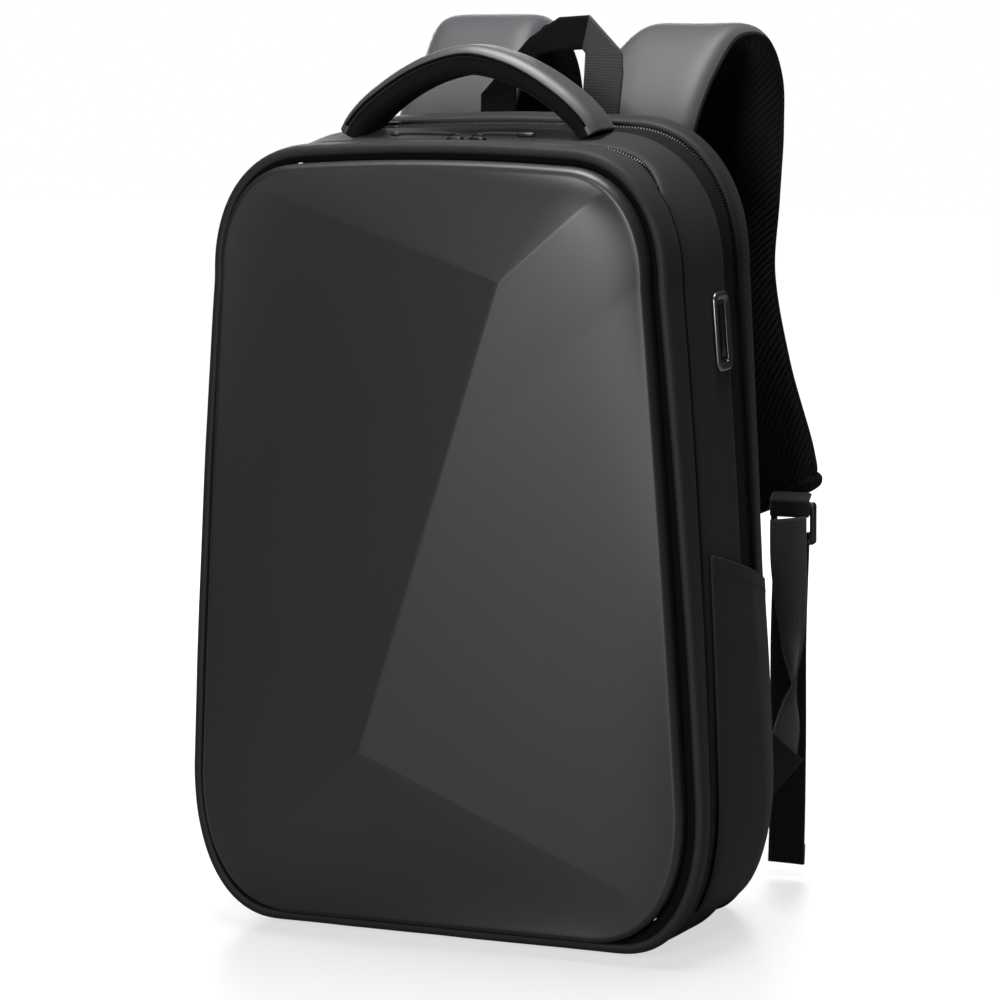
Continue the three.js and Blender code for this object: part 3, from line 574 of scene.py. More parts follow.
def shell_steps():
    """Outline steps with a close pair at each crease."""
    steps = [s for s in STEPS if all(abs(s - c) > 0.3 for c in crease_steps())]
    for c in crease_steps():
        steps += [c + share * CREASE_NEAR for share in (-4, -1, 1, 4)]
    return sorted(steps)


def crease_steps():
    return (RIDGE_FIRST, RIDGE_LAST, 2 * HALF_STEPS - RIDGE_LAST, 2 * HALF_STEPS - RIDGE_FIRST)


def ridge_point(step, y):
    side = 1 if step <= HALF_STEPS else -1
    half = step if side > 0 else 2 * HALF_STEPS - step
    share = clamp01((half - RIDGE_FIRST) / (RIDGE_LAST - RIDGE_FIRST))
    x = blend(RIDGE_FOOT[0], RIDGE_HEAD[0], share)
    z = blend(RIDGE_FOOT[1], RIDGE_HEAD[1], share)
    return Vector((x, y, z))


def facet_planes():
    """Planes of the four facets, as depth over x and z. Each gives how far forward it lies."""
    head = Vector((*RIDGE_HEAD, SHELL_RISE))
    foot = Vector((*RIDGE_FOOT, SHELL_RISE))

    def rim_point(step, rise):
        x, z = outline_point(SHELL_SECTION, -EDGE_WIDE, step)
        return Vector((x, z, rise))

    def plane(a, b, c):
        normal = (b - a).cross(c - a)
        return lambda x, z: a.z - (normal.x * (x - a.x) + normal.y * (z - a.y)) / normal.z

    right = plane(head, foot, rim_point(10, EDGE_DEEP))
    left = plane(head, foot, rim_point(2 * HALF_STEPS - 10, EDGE_DEEP))
    ends = []
    for step in (RIDGE_LAST, RIDGE_FIRST):
        a = rim_point(step, 0)
        b = rim_point(2 * HALF_STEPS - step, 0)
        ends.append((Vector((a.x, a.y, right(a.x, a.y))), Vector((b.x, b.y, left(b.x, b.y)))))
    return right, left, plane(head, *ends[0]), plane(foot, *ends[1])


def make_shell():
    planes = facet_planes()
    steps = shell_steps()

    def ring(y, grow):
        return [Vector((x, y, z)) for x, z in outline(SHELL_SECTION, grow, steps)]

    rings = [ring(5, 0), ring(3.5, 0), ring(0.5, 0)]
    for i in range(EDGE_ROWS + 1):
        angle = math.pi / 2 * i / EDGE_ROWS
        deep = 2.0 + (EDGE_DEEP - 2.0) * math.sin(angle) ** 0.9
        wide = EDGE_WIDE * (1 - math.cos(angle)) ** 0.95
        rings.append(ring(-deep, -wide))
    rim = rings[-1]
    ridge = [ridge_point(step, -SHELL_RISE) for step in steps]
    for share in (0.015, 0.04, 0.075, 0.12, 0.18, 0.26, 0.38, 0.52, 0.68, 0.84, 0.94, 0.985):
        row = [a.lerp(b, share) for a, b in zip(rim, ridge)]
        weight = FACET_FLAT * (1 - (1 - share) ** 7)
        for point in row:
            flat = min(plane(point.x, point.z) for plane in planes)
            point.y = blend(point.y, -min(SHELL_RISE, flat), weight)
        rings.append(row)
    lowered = []
    for a, b in zip(rim, ridge):
        towards = (a - b).normalized()
        lowered.append(b + towards * CREASE)
    rings.append(lowered)
    shell = loft("shell_skin", rings, film, "open")
    close_ridge(shell, len(rings), len(steps))
    weighted = shell.modifiers.new("even", "WEIGHTED_NORMAL")
    weighted.weight = 60
    weighted.keep_sharp = True
    thick = shell.modifiers.new("thick", "SOLIDIFY")
    thick.thickness = 1.6 * MM
    thick.offset = -1
    thick.thickness_clamp = 1
    place(shell, "shell", "front_shell")


def close_ridge(shell, rows, count):
    """Joins the two sides of the ridge, which the last ring runs round."""
    mesh = shell.data
    points = [v.co.copy() for v in mesh.vertices]
    faces = [tuple(p.vertices) for p in mesh.polygons]
    layer = mesh.uv_layers["metric"].data
    uvs = [[tuple(layer[i].uv) for i in p.loop_indices] for p in mesh.polygons]
    last = (rows - 1) * count
    for i in range(count // 2):
        a, b = last + i, last + i + 1
        c, d = last + count - 1 - i, last + (count - i) % count
        if len({a, b, c, d}) == 4:
            faces.append((a, b, c, d))
            uvs.append([(0, 0), (0.001, 0), (0.001, 0.001), (0, 0.001)])
    made = bpy.data.meshes.new("shell_skin")
    made.from_pydata(points, [], faces)
    fresh = made.uv_layers.new(name="metric")
    for polygon, row in zip(made.polygons, uvs):
        for loop, uv in zip(polygon.loop_indices, row):
            fresh.data[loop].uv = uv
        polygon.use_smooth = True
    made.materials.append(film)
    shell.data = made
    made.validate()


# Bands of cloth round the body.
def band(name, profile, material, levels=1, wobble=0.0, seed=0.0):
    """profile rows are depth, offset out, and how far the depth moves back along the top."""
    rings = []
    for y, out, back in profile:
        ring = []
        for step in STEPS:
            point = body_point(step, y, out, back)
            if wobble:
                shift = noise.noise(point * 0.018 + Vector((seed, 0, 0))) * wobble
                shift += noise.noise(point * 0.06 + Vector((0, seed, 0))) * wobble * 0.4
                point = body_point(step, y, out + shift, back)
            ring.append(point)
        rings.append(ring)
    piece = loft(name, rings, material, "loop")
    return soften(piece, levels) if levels else piece


def make_binding():
    rings = []
    for y, share in ((3.0, 0.0), (3.6, 0.3), (3.6, 0.7), (3.0, 1.0), (4.5, 1.0), (4.5, 0.0)):
        inner = outline(SHELL_SECTION, GAP)
        outer = outline(section_at(1.5), -LIP - GAP)
        pairs = [(blend(a[0], b[0], share), blend(a[1], b[1], share)) for a, b in zip(inner, outer)]
        rings.append([Vector((x, y, z)) for x, z in pairs])
    place(loft("groove_binding", rings, binding_cloth, "loop"), "binding", "shell_binding")


def make_rim():
    profile = [
        (2.9, -6.0, 0),
        (2.1, -5.6, 0),
        (1.7, -4.6, 0),
        (1.7, -3.2, 0),
        (2.4, -1.6, 0),
        (4.0, -0.5, 0),
        (6.5, 0.0, RIM_BACK * 0.15),
        (9.5, 0.4, RIM_BACK * 0.4),
        (13.0, 0.6, RIM_BACK * 0.65),
        (16.0, 0.3, RIM_BACK * 0.85),
        (18.0, -0.4, RIM_BACK * 0.97),
        (19.0, -1.5, RIM_BACK),
        (19.0, -2.6, RIM_BACK),
        (18.4, -PADDING, RIM_BACK),
        (10.0, -PADDING, RIM_BACK * 0.5),
        (5.0, -PADDING, 0),
        (4.6, -6.0, 0),
    ]
    place(band("rim_roll", profile, body_cloth, 1, 0.25, 3.0), "body_cloth", "front_rim")


def make_front_zip():
    front, rear = 19.5, 20.7
    profile = [
        (front, -ZIP_SUNK, RIM_BACK),
        (rear, -ZIP_SUNK, ZIP_BACK),
        (rear, -ZIP_SUNK - 1.2, ZIP_BACK),
        (front, -ZIP_SUNK - 1.2, RIM_BACK),
    ]
    place(band("front_zip_tape", profile, tape_cloth, 0), "zip_tape", "front_zip")
    middle = (RIM_BACK + ZIP_BACK) / 2
    make_coil("front_zip_coil", (front + rear) / 2, -ZIP_SUNK, middle, 15, (1.05, 4.2, 0.9))


def make_coil(name, y, out, back, first, size):
    """Zip teeth over the top of the bag, from a step to the same one on the other side."""
    path = []
    for step in STEPS:
        if first <= step <= 2 * HALF_STEPS - first:
            a = body_point(step, y, out, back)
            b = body_point(step, y, 0, back)
            path.append((a, (b - a).normalized()))
    place(bars(name, path, coil, 1.7, size), "black_plastic")


def make_main_gusset():
    profile = [
        (21.4, -2.6, ZIP_BACK),
        (21.4, -1.6, ZIP_BACK),
        (22.2, -0.6, ZIP_BACK),
        (24.0, -0.2, ZIP_BACK * 0.97),
        (28.0, 0.1, ZIP_BACK * 0.8),
        (36.0, 0.3, ZIP_BACK * 0.4),
        (46.0, 0.2, ZIP_BACK * 0.1),
        (56.0, 0.2, 0),
        (66.0, 0.4, 0),
        (71.5, 0.4, 0),
        (73.8, 0.1, 0),
        (75.2, -0.8, 0),
        (75.8, -2.2, 0),
        (75.2, -3.4, 0),
        (71.5, -CLOTH, 0),
        (36.0, -CLOTH, ZIP_BACK * 0.5),
        (22.4, -CLOTH - 1.2, ZIP_BACK),
    ]
    place(band("main_gusset_cloth", profile, body_cloth, 1, 0.35, 8.0), "body_cloth", "main_gusset")


def make_rear_zip():
    profile = [
        (75.9, -4.2, 0),
        (77.5, -3.9, 0),
        (84.0, -3.5, 0),
        (94.0, -3.3, 0),
        (104.0, -3.4, 0),
        (108.0, -3.8, 0),
        (112.4, -4.0, 0),
        (112.4, -5.4, 0),
        (94.0, -5.4, 0),
        (75.9, -6.0, 0),
    ]
    place(band("rear_zip_tape", profile, tape_cloth, 1, 0.2, 5.0), "zip_tape", "rear_zip")
    make_coil("rear_zip_coil", 110.3, -3.9, 0, 2.5, (1.05, 3.6, 0.8))


def make_rear_gusset():
    profile = [
        (113.6, -4.4, 0),
        (113.0, -3.0, 0),
        (113.2, -1.6, 0),
        (114.2, -0.6, 0),
        (116.5, 0.1, 0),
        (121.0, 0.5, 0),
        (128.0, 0.6, 0),
        (133.0, 0.3, 0),
        (136.0, -0.6, 0),
        (137.8, -2.0, 0),
        (138.0, -3.4, 0),
        (136.8, -5.0, 0),
        (128.0, -CLOTH - 1, 0),
        (115.0, -CLOTH - 1.8, 0),
    ]
    place(band("rear_gusset_cloth", profile, rear_cloth, 1, 0.3, 11.0), "dark_cloth", "rear_gusset")


def make_edge_piping():
    """A corded edge along the rear seam of the bag."""
    rings = []
    radius = 1.3
    for k in range(8):
        angle = 2 * math.pi * k / 8
        y = 138.6 + radius * math.cos(angle)
        out = -3.6 + radius * math.sin(angle)
        rings.append([Vector((x, y, z)) for x, z in outline(SECTIONS[-1], out)])
    place(loft("rear_piping", rings, tape_cloth, "loop"), "zip_tape")


# The back: a padded panel with sewn channels. An edge row is its depth, its inset and how far
# it is drawn to the middle.
BACK_EDGE = (
    (131.8, 0, 0.6), (131.8, 0, 0), (136.5, 0, 0),
    (138.4, 0.6, 0), (139.2, 1.8, 0), (139.8, 3.4, 0),
)


def make_back():
    edge = -CLOTH * 2 - GAP * 2
    rear = SECTIONS[-1]
    centre_z = BODY_HEIGHT / 2
    rings = []
    for y, inset, share in BACK_EDGE:
        ring = outline(rear, edge - inset)
        rings.append([Vector((x * (1 - share), y, blend(z, centre_z, share))) for x, z in ring])
    for share in [0.02 + 0.95 * i / 26 for i in range(27)]:
        ring = []
        for x, z in outline(rear, edge - 4.2):
            px, pz = x * (1 - share), blend(z, centre_z, share)
            ring.append(Vector((px, back_height(px, pz, share), pz)))
        rings.append(ring)
    panel = loft("back_pad", rings, mesh_cloth, "caps")
    place(panel, "mesh", "back_panel")


def back_height(x, z, share):
    """Depth of the padded back: a domed field, pressed in along its sewn channels."""
    rise = 1 - (1 - clamp01(share * 6)) ** 2.4
    y = 139.6 + 5.2 * rise
    channels = [abs(x) - 26, abs(z - 150) if abs(x) > 26 else 99, abs(z - 290) if abs(x) > 26 else 99]
    for distance in channels:
        y -= 2.6 * math.exp(-((distance / 5.5) ** 2)) * rise
    return y


# The side pockets.
POCKET_TOP = 218
POCKET_DROP = 31
POCKET_FOOT = 17


def pocket_point(across, up, side, extra=0.0):
    foot = POCKET_FOOT + 6 * (2 * across - 1) ** 2
    rear = BODY_DEPTH - 7 - 14 * (1 - clamp01(up)) ** 3
    y = blend(RIM_DEPTH + 8, rear, across)
    height = blend(foot, POCKET_TOP - POCKET_DROP * across, up)
    arch = math.sin(math.pi * clamp01(across))
    swell = 6.4 * math.sin(math.pi * clamp01(up) ** 0.55) + 3 * up
    out = 1 + 1.8 - 1.5 * ease(0.7, 1, across) + arch * swell + extra
    out += noise.noise(Vector((y * 0.03, height * 0.02, 7 + side))) * 0.5 * arch
    return side_point(y, height, out, side)


def make_pocket(label, side):
    rows = []
    up_steps, across_steps = 46, 34
    for j in range(up_steps + 1):
        up = j / up_steps
        row = []
        for i in range(across_steps + 1):
            across = i / across_steps
            lip = 0.35 if up > 0.955 else 0.0
            tuck = 0.9 * (ease(0.04, 0, across) + ease(0.96, 1, across) + ease(0.04, 0, up))
            row.append(pocket_point(across, up, side, lip - tuck))
        rows.append(row if side > 0 else row[::-1])
    pocket = grid("pocket_" + label, rows, body_cloth, 1.5, 1)
    turn_to(pocket, Vector((side, 0, 0)))
    place(pocket, "body_cloth", "side_pocket_" + label)
    for name, up in (("hem", 0.955), ("lip", 0.992)):
        path = []
        for i in range(60):
            across = 0.015 + 0.97 * i / 59
            a = pocket_point(across, up, side, 0.2)
            path.append((a, Vector((side, 0, 0))))
        seam = bars("pocket_" + name + "_" + label, path, thread, 3.6, (2.6, 0.5, 0.35), sink=0.12)
        place(seam, "body_cloth")


# The charging port: a chamfered metal frame round a dark slot.
PORT = {"tall": 42, "wide": 21, "stands": 2.2, "border": 4.4, "radius": 5, "height": 332}


def port_frame():
    y, height, reach = FOLD_AT - 11.5, PORT["height"], PORT["wide"] / 2
    up = (side_point(y, height + reach, 0) - side_point(y, height - reach, 0)).normalized()
    back = (side_point(y + reach, height, 0) - side_point(y - reach, height, 0)).normalized()
    return side_point(y, height, PUFF), up, back, back.cross(up).normalized()


def port_rings(*rows):
    """Rings round the port. A row is its inset, its corner radius and its rise."""
    origin, up, back, out = port_frame()
    rings = []
    for inset, radius, rise in rows:
        corners = rounded(PORT["wide"] - 2 * inset, PORT["tall"] - 2 * inset, radius, 8)
        rings.append([origin + back * b + up * u + out * rise for b, u in corners])
    return rings


def make_port():
    border, radius = PORT["border"], PORT["radius"]
    rings = port_rings(
        (0, radius, 0.1),
        (0, radius, 1.1),
        (0.2, radius - 0.1, 1.5),
        (0.9, radius - 0.5, 2.1),
        (1.2, radius - 0.7, 2.2),
        (2.0, radius - 1.2, 2.2),
        (2.3, radius - 1.4, 2.1),
        (border - 0.3, radius * 0.55, 1.1),
        (border, radius * 0.5, 0.9),
        (border, radius * 0.5, 0.1),
    )
    place(loft("port_frame", rings, port_metal, "loop"), "port_frame", "usb_frame")
    inner = border + 0.3
    slot = port_rings(
        (inner, 2.2, 0.2),
        (inner, 2.2, 0.6),
        (inner + 0.8, 1.8, 0.6),
        (inner + 1.2, 1.6, 0.3),
        (inner + 2.2, 1.2, 0.3),
    )
    place(loft("port_slot", slot, black_plastic, "caps"), "black_plastic", "usb_slot")
    tongue = port_rings((inner + 3.0, 0.8, 0.3), (inner + 3.0, 0.8, 0.7), (inner + 3.3, 0.6, 0.9))
    place(loft("port_tongue", tongue, black_plastic, "caps"), "black_plastic")


# Paths through rows of numbers, whose first three are a place.
def spline(rows, count):
    """A centripetal spline: gives (row, direction) at even steps of its rows."""
    rows = [tuple(float(v) for v in row) for row in rows]
    first = tuple(2 * a - b for a, b in zip(rows[0], rows[1]))
    last = tuple(2 * a - b for a, b in zip(rows[-1], rows[-2]))
    full = [first] + rows + [last]
    out = []
    for n in range(count):
        at = (len(rows) - 1) * n / (count - 1)
        i = min(len(rows) - 2, int(at))
        t = at - i
        p = full[i:i + 4]
        gaps = [max(1e-4, (Vector(p[k + 1][:3]) - Vector(p[k][:3])).length ** 0.5) for k in range(3)]
        row, ahead = [], []
        for x0, x1, x2, x3 in zip(*p):
            t1 = ((x1 - x0) / gaps[0] - (x2 - x0) / (gaps[0] + gaps[1]) + (x2 - x1) / gaps[1]) * gaps[1]
            t2 = ((x2 - x1) / gaps[1] - (x3 - x1) / (gaps[1] + gaps[2]) + (x3 - x2) / gaps[2]) * gaps[1]
            c2 = -3 * x1 + 3 * x2 - 2 * t1 - t2
            c3 = 2 * x1 - 2 * x2 + t1 + t2
            row.append(x1 + t1 * t + c2 * t * t + c3 * t * t * t)
            ahead.append(t1 + 2 * c2 * t + 3 * c3 * t * t)
        out.append((row, Vector(ahead[:3]).normalized()))
    return out


def frames(rows, count, axis):
    """Stations with their place, width direction, outward normal and other values."""
    out = []
    for row, ahead in spline(rows, count):
        across = Vector(axis(row)) if callable(axis) else Vector(axis)
        across = (across - ahead * across.dot(ahead)).normalized()
        out.append((Vector(row[:3]), across, across.cross(ahead).normalized(), row[3:]))
    return out


# The carry handle.
HANDLE_AT = FOLD_AT - 12
HANDLE_REACH = 70.5
HANDLE_RISE = 38.6
HANDLE_WIDE = 35
HANDLE_THICK = 15
# From the middle to a foot, in shares: across, up, thickness and width.
HANDLE_HALF = [
    (0, 1, 1.1, 0.886),
    (0.284, 0.899, 1.07, 0.914),
    (0.482, 0.749, 1.03, 0.943),
    (0.667, 0.549, 1, 0.971),
    (0.823, 0.334, 1, 1),
    (0.936, 0.127, 0.97, 1),
    (1, -0.054, 0.93, 1),
]


def handle_rows():
    base = top_point(0, HANDLE_AT).z

    rows = []
    for side, table in ((-1, HANDLE_HALF[:0:-1]), (1, HANDLE_HALF)):
        for across, up, thick, wide in table:
            spot = (side * across * HANDLE_REACH, HANDLE_AT, base + up * HANDLE_RISE)
            rows.append((*spot, thick * HANDLE_THICK, wide * HANDLE_WIDE))
    return rows


def over_top(point):
    """Keeps a point of the handle above the top of the bag."""
    floor = top_point(point.x, point.y).z + 0.6
    if point.z < floor:
        point.z = floor
    return point


def handle_drop(share):
    """How far the cover turns down towards an edge."""
    return 6.0 * abs(share) ** 5.5


# Shapes of a padding's section: points, side power, side share, top power, cover and clearance.
HANDLE_PAD = (40, 0.5, 0.965, 0.62, 3.4, 2.6)
STRAP_PAD = (48, 0.45, 0.98, 0.6, 2.7, 2.5)


def pad_ring(centre, across, normal, half, top, shape, drop):
    """A rounded section of padding that stays under its cover."""
    count, side_power, side_share, top_power, cover, clearance = shape
    ring = []
    for i in range(count):
        angle = 2 * math.pi * i / count
        c, s = math.cos(angle), math.sin(angle)
        a = math.copysign(abs(c) ** side_power, c) * half * side_share
        n = math.copysign(abs(s) ** top_power, s)
        n *= top - cover if n > 0 else top
        n = min(n, top - clearance - drop(a / half))
        ring.append(centre + across * a + normal * n)
    return ring


def make_handle():
    stations = frames(handle_rows(), 75, (0, -1, 0))
    rows, rings, seams = [], [], ([], [])
    for centre, across, normal, (thick, wide) in stations:
        half, top = wide / 2, thick / 2
        row = []
        for i in range(21):
            s = -1 + 2 * i / 20
            row.append(over_top(centre + across * (s * half) + normal * (top - handle_drop(s))))
        rows.append(row)
        ring = pad_ring(centre, across, normal, half, top, HANDLE_PAD, handle_drop)
        rings.append([over_top(point) for point in ring])
        for seam, s in zip(seams, (-1, 1)):
            seam.append(over_top(centre + across * (s * half * 0.985) + normal * (top - 5.2)))
    cover = grid("handle_cover_cloth", rows, handle_cloth, 2.4, 1)
    place(cover, "dark_cloth", "handle_cover")
    pad = loft("handle_pad", rings, side_mesh, "caps")
    place(soften(pad, 1), "mesh", "handle_padding")
    for seam, label in zip(seams, ("rear", "front")):
        place(tube("handle_cord_" + label, seam[4:-4], 0.9, binding_cloth), "binding")


def circle(middle, first, second, radius, count):
    """A ring of points round a middle, in the plane of two directions."""
    angles = [2 * math.pi * k / count for k in range(count)]
    return [middle + first * (radius * math.cos(t)) + second * (radius * math.sin(t)) for t in angles]


def tube(name, points, radius, material, sides=8):
    """A round cord along points."""
    rings = []
    for i, point in enumerate(points):
        a = points[max(0, i - 1)]
        b = points[min(len(points) - 1, i + 1)]
        ahead = (b - a).normalized()
        first = ahead.cross(Vector((0.31, 0.2, 0.93))).normalized()
        second = ahead.cross(first)
        rings.append(circle(point, first, second, radius, sides))
    return loft(name, rings, material, "caps")


# The haul loop, a strip of webbing folded over at its right corner. A row is the outer edge's
# place across and up, then the inner edge's.
HAUL_EDGES = [
    (0.918, 0, 0.404, 0),
    (0.95, 0.3, 0.43, 0.3),
    (1, 0.6, 0.462, 0.625),
    (0.985, 0.744, 0.469, 0.737),
    (0.521, 1, 0.427, 0.762),
    (0.099, 0.987, 0.053, 0.75),
    (-0.322, 0.844, -0.181, 0.725),
    (-1, 0.45, -0.509, 0.512),
    (-1, 0.2, -0.509, 0.22),
    (-1, 0, -0.509, 0),
]
HAUL_FOLD = 4
HAUL_SPLITS = 6
HAUL_ACROSS = 10
HAUL_LEAN = 0.06
HAUL_HALF = 42.75
HAUL_MIDDLE = 9.75
HAUL_FOOT = 27
HAUL_TALL = 80
PANEL_REAR = BODY_DEPTH + BACK_DOME * 0.86


def haul_point(across, up):
    rise = up * HAUL_TALL
    y = PANEL_REAR + GAP + rise * HAUL_LEAN
    return Vector((HAUL_MIDDLE + across * HAUL_HALF, y, BODY_HEIGHT - HAUL_FOOT + rise))


def haul_row(edge):
    shares = [i / HAUL_ACROSS for i in range(HAUL_ACROSS + 1)]
    return [haul_point(blend(edge[0], edge[2], t), blend(edge[1], edge[3], t)) for t in shares]


def make_haul():
    rows = []
    for a, b in zip(HAUL_EDGES, HAUL_EDGES[1:]):
        for k in range(HAUL_SPLITS):
            rows.append(haul_row([blend(p, q, k / HAUL_SPLITS) for p, q in zip(a, b)]))
    rows.append(haul_row(HAUL_EDGES[-1]))
    loop = grid("haul_webbing", rows, haul_web, TAPE - 0.2, 0)
    turn_to(loop, Vector((0, -1, 0)))
    # Faces past the fold take the near-black copy of the webbing, which paints shade on the top part of the
    # loop.
    loop.data.materials.append(haul_painted_shade)
    first_painted_shade = HAUL_FOLD * HAUL_SPLITS * (HAUL_ACROSS + 1)
    for polygon in loop.data.polygons:
        if min(polygon.vertices) >= first_painted_shade:
            polygon.material_index = 1
    place(loop, "webbing", "haul_loop")


def turn_to(piece, way):
    """Makes a sheet's faces look along a direction, on the whole."""
    total = sum((p.normal * p.area for p in piece.data.polygons), Vector())
    if total.dot(way) < 0:
        piece.data.flip_normals()


# The shoulder straps.
STRAP_WIDE = 71
STRAP_THICK = 13
STRAP_REACH = 114
STRAP_TOP = BODY_HEIGHT + 40
STRAP_END = 219
# From the back panel to the buckle, in shares: across, back, up, thickness and width.
STRAP_ROWS = {
    "right": [
        (0.364, 0, 0.673, 0.65, 0.93),
        (0.364, 0.036, 0.759, 0.73, 0.958),
        (0.371, 0.126, 0.838, 0.92, 0.986),
        (0.404, 0.346, 0.936, 1, 0.93),
        (0.45, 0.591, 1, 1, 0.859),
        (0.495, 0.811, 0.989, 1, 0.9),
        (0.497, 0.969, 0.91, 1, 0.955),
        (0.489, 1.004, 0.793, 1, 0.975),
        (0.492, 0.934, 0.643, 1, 0.97),
        (0.51, 0.837, 0.474, 1, 0.915),
        (0.596, 0.767, 0.267, 1, 0.901),
        (0.722, 0.749, 0.079, 0.92, 0.815),
        (0.788, 0.749, 0, 0.77, 0.69),
    ],
    "left": [
        (0.364, 0, 0.673, 0.65, 0.93),
        (0.364, 0.036, 0.759, 0.73, 0.958),
        (0.371, 0.126, 0.838, 0.92, 0.986),
        (0.358, 0.346, 0.947, 1, 0.93),
        (0.368, 0.574, 1.019, 1, 0.944),
        (0.371, 0.802, 1.015, 1, 0.972),
        (0.358, 0.969, 0.936, 1, 1.014),
        (0.344, 1.004, 0.793, 1, 1),
        (0.377, 0.934, 0.643, 1, 0.972),
        (0.45, 0.837, 0.474, 1, 0.93),
        (0.57, 0.767, 0.267, 1, 0.901),
        (0.709, 0.749, 0.079, 0.92, 0.803),
        (0.788, 0.749, 0, 0.77, 0.648),
    ],
}


def strap_rows(label):
    rows = STRAP_ROWS[label]
    seat = PANEL_REAR + GAP * 2 + rows[0][3] * STRAP_THICK / 2
    out = []
    for across, back, up, thick, wide in rows:
        spot = (across * HALF_WIDTH, seat + back * STRAP_REACH, blend(STRAP_END, STRAP_TOP, up))
        out.append((*spot, thick * STRAP_THICK, wide * STRAP_WIDE))
    return out


def flipped(point, side):
    return Vector((point.x * side, point.y, point.z))


def strap_drop(share):
    """How far the cover turns down towards an edge."""
    return 6.0 * min(1, abs(share)) ** 9


def make_strap(label, side):
    stations = frames(strap_rows(label), 110, (1, 0, 0))
    rows, rings, cords = [], [], ([], [])
    last = len(stations) - 1
    for n, (centre, across, normal, (thick, wide)) in enumerate(stations):
        half, top = wide / 2, thick / 2
        end = ease(last - 5, last, n)
        half *= 1 - 0.1 * end ** 2
        soft = noise.noise(centre * 0.02 + Vector((side * 3, 0, 0))) * 0.6
        row = []
        for i in range(33):
            s = math.sin(math.pi / 2 * (-1 + i / 16))
            lift = top - strap_drop(s) + soft * (1 - abs(s))
            row.append(flipped(centre + across * (s * half) + normal * lift, side))
        rows.append(row)
        ring = pad_ring(centre, across, normal, half, top, STRAP_PAD, strap_drop)
        rings.append([flipped(point, side) for point in ring])
        for cord, s in zip(cords, (-1, 1)):
            cord.append(flipped(centre + across * (s * half * 0.985) + normal * (top - 7.6), side))
    cover = grid("strap_cloth_" + label, rows, strap_cloth, 1.9, 1)
    face_along(cover, flipped(stations[len(stations) // 2][2], side))
    place(cover, "strap_cloth", "strap_cover_" + label)
    pad = loft("strap_pad_" + label, rings, mesh_cloth, "caps")
    place(soften(pad, 1), "mesh", "strap_padding_" + label)
    for cord, name in zip(cords, ("inner", "outer")):
        place(tube("strap_cord_" + name + "_" + label, cord[1:-1], 1.25, tape_cloth), "zip_tape")
    make_strap_end(label, side, stations)


def make_strap_end(label, side, stations):
    """The rolled lip at the end of the padding, and the band of webbing sewn under it."""
    centre, across, normal, (thick, wide) = stations[-1]
    ahead = (stations[-1][0] - stations[-3][0]).normalized()
    half = wide / 2 * 1.05
    rings = []
    for k in range(31):
        s = -1 + k / 15
        swell = (1 - abs(s) ** 6) ** 0.5
        radius = 1.0 + 5.2 * swell
        middle = centre + across * (s * half) - ahead * 2.0 + normal * 0.4
        rings.append([flipped(point, side) for point in circle(middle, ahead, normal, radius, 14)])
    lip = loft("strap_lip_" + label, rings, mesh_cloth, "caps")
    place(soften(lip, 1), "mesh")
    x, y, low = lock_place(label)
    top_bar = low + LOCK["tall"] - 8
    band_front = y - 2.0
    rows = []
    for k in range(13):
        t = k / 12
        forward = blend(centre.y - BAND_STANDS, band_front, ease(0, 0.35, t))
        at = Vector((x - BAND_SHIFT, forward, blend(centre.z + 4, top_bar - 1, t)))
        rows.append([flipped(at + Vector((s * BAND_WIDE / 2, 0, 0)), side) for s in BAND_ACROSS])
    band_piece = grid("lock_band_" + label, rows, web_painted_shade, 1.4, 1)
    turn_to(band_piece, Vector((0, -1, 0)))
    place(band_piece, "webbing")


def face_along(piece, way):
    """Makes a sheet's middle face look along a direction."""
    polygons = piece.data.polygons
    if polygons[len(polygons) // 2].normal.dot(way) < 0:
        piece.data.flip_normals()


# The buckles and their webbing.
LOCK = {"wide": 27, "tall": 25, "thick": 4.5, "bar": 3.2}
WEB_WIDE = 21.5
BAND_WIDE = 24.4
BAND_SHIFT = 1.4
BAND_STANDS = 6.0
BAND_ACROSS = (-1, -0.5, 0, 0.5, 1)
# The free end, in shares: down, sideways and forward.
TAIL_ROWS = ((0, 0, 0), (0.296, -0.1, 0.33), (0.614, 0.65, 0.66), (0.878, 1, 0.93), (1, 0.8, 1))
# The lower webbing turns edge on, then lies along the tab: share of its way, bow, width direction.
ANCHOR_ROWS = [
    (0, -0.12, 0, 1, 0.05, 0),
    (0.167, -0.1, 0.15, 1, 0, 0),
    (0.364, 0, 0.45, 0.937, -0.35, 0),
    (0.583, 0.09, 0.8, 0.707, -0.707, 0.03),
    (0.737, 0.21, 0.9, 0.31, -0.94, 0.12),
    (0.88, 0.12, 0.5, -0.25, -0.86, 0.42),
    (1, 0, 0, -0.48, -0.58, 0.66),
]


def lock_place(label):
    x, y, z, thick, _ = strap_rows(label)[-1]
    return x + 8, y - thick / 2 - GAP - LOCK["thick"], z - 14 - LOCK["tall"] / 2


def rounded(wide, tall, radius, per_corner):
    """Points round a rectangle with round corners."""
    out = []
    for corner in range(4):
        sx = 1 if corner in (0, 3) else -1
        sy = 1 if corner < 2 else -1
        for i in range(per_corner + 1):
            angle = (corner + i / per_corner) * math.pi / 2
            x = sx * (wide / 2 - radius) + radius * math.cos(angle)
            out.append((x, sy * (tall / 2 - radius) + radius * math.sin(angle)))
    return out


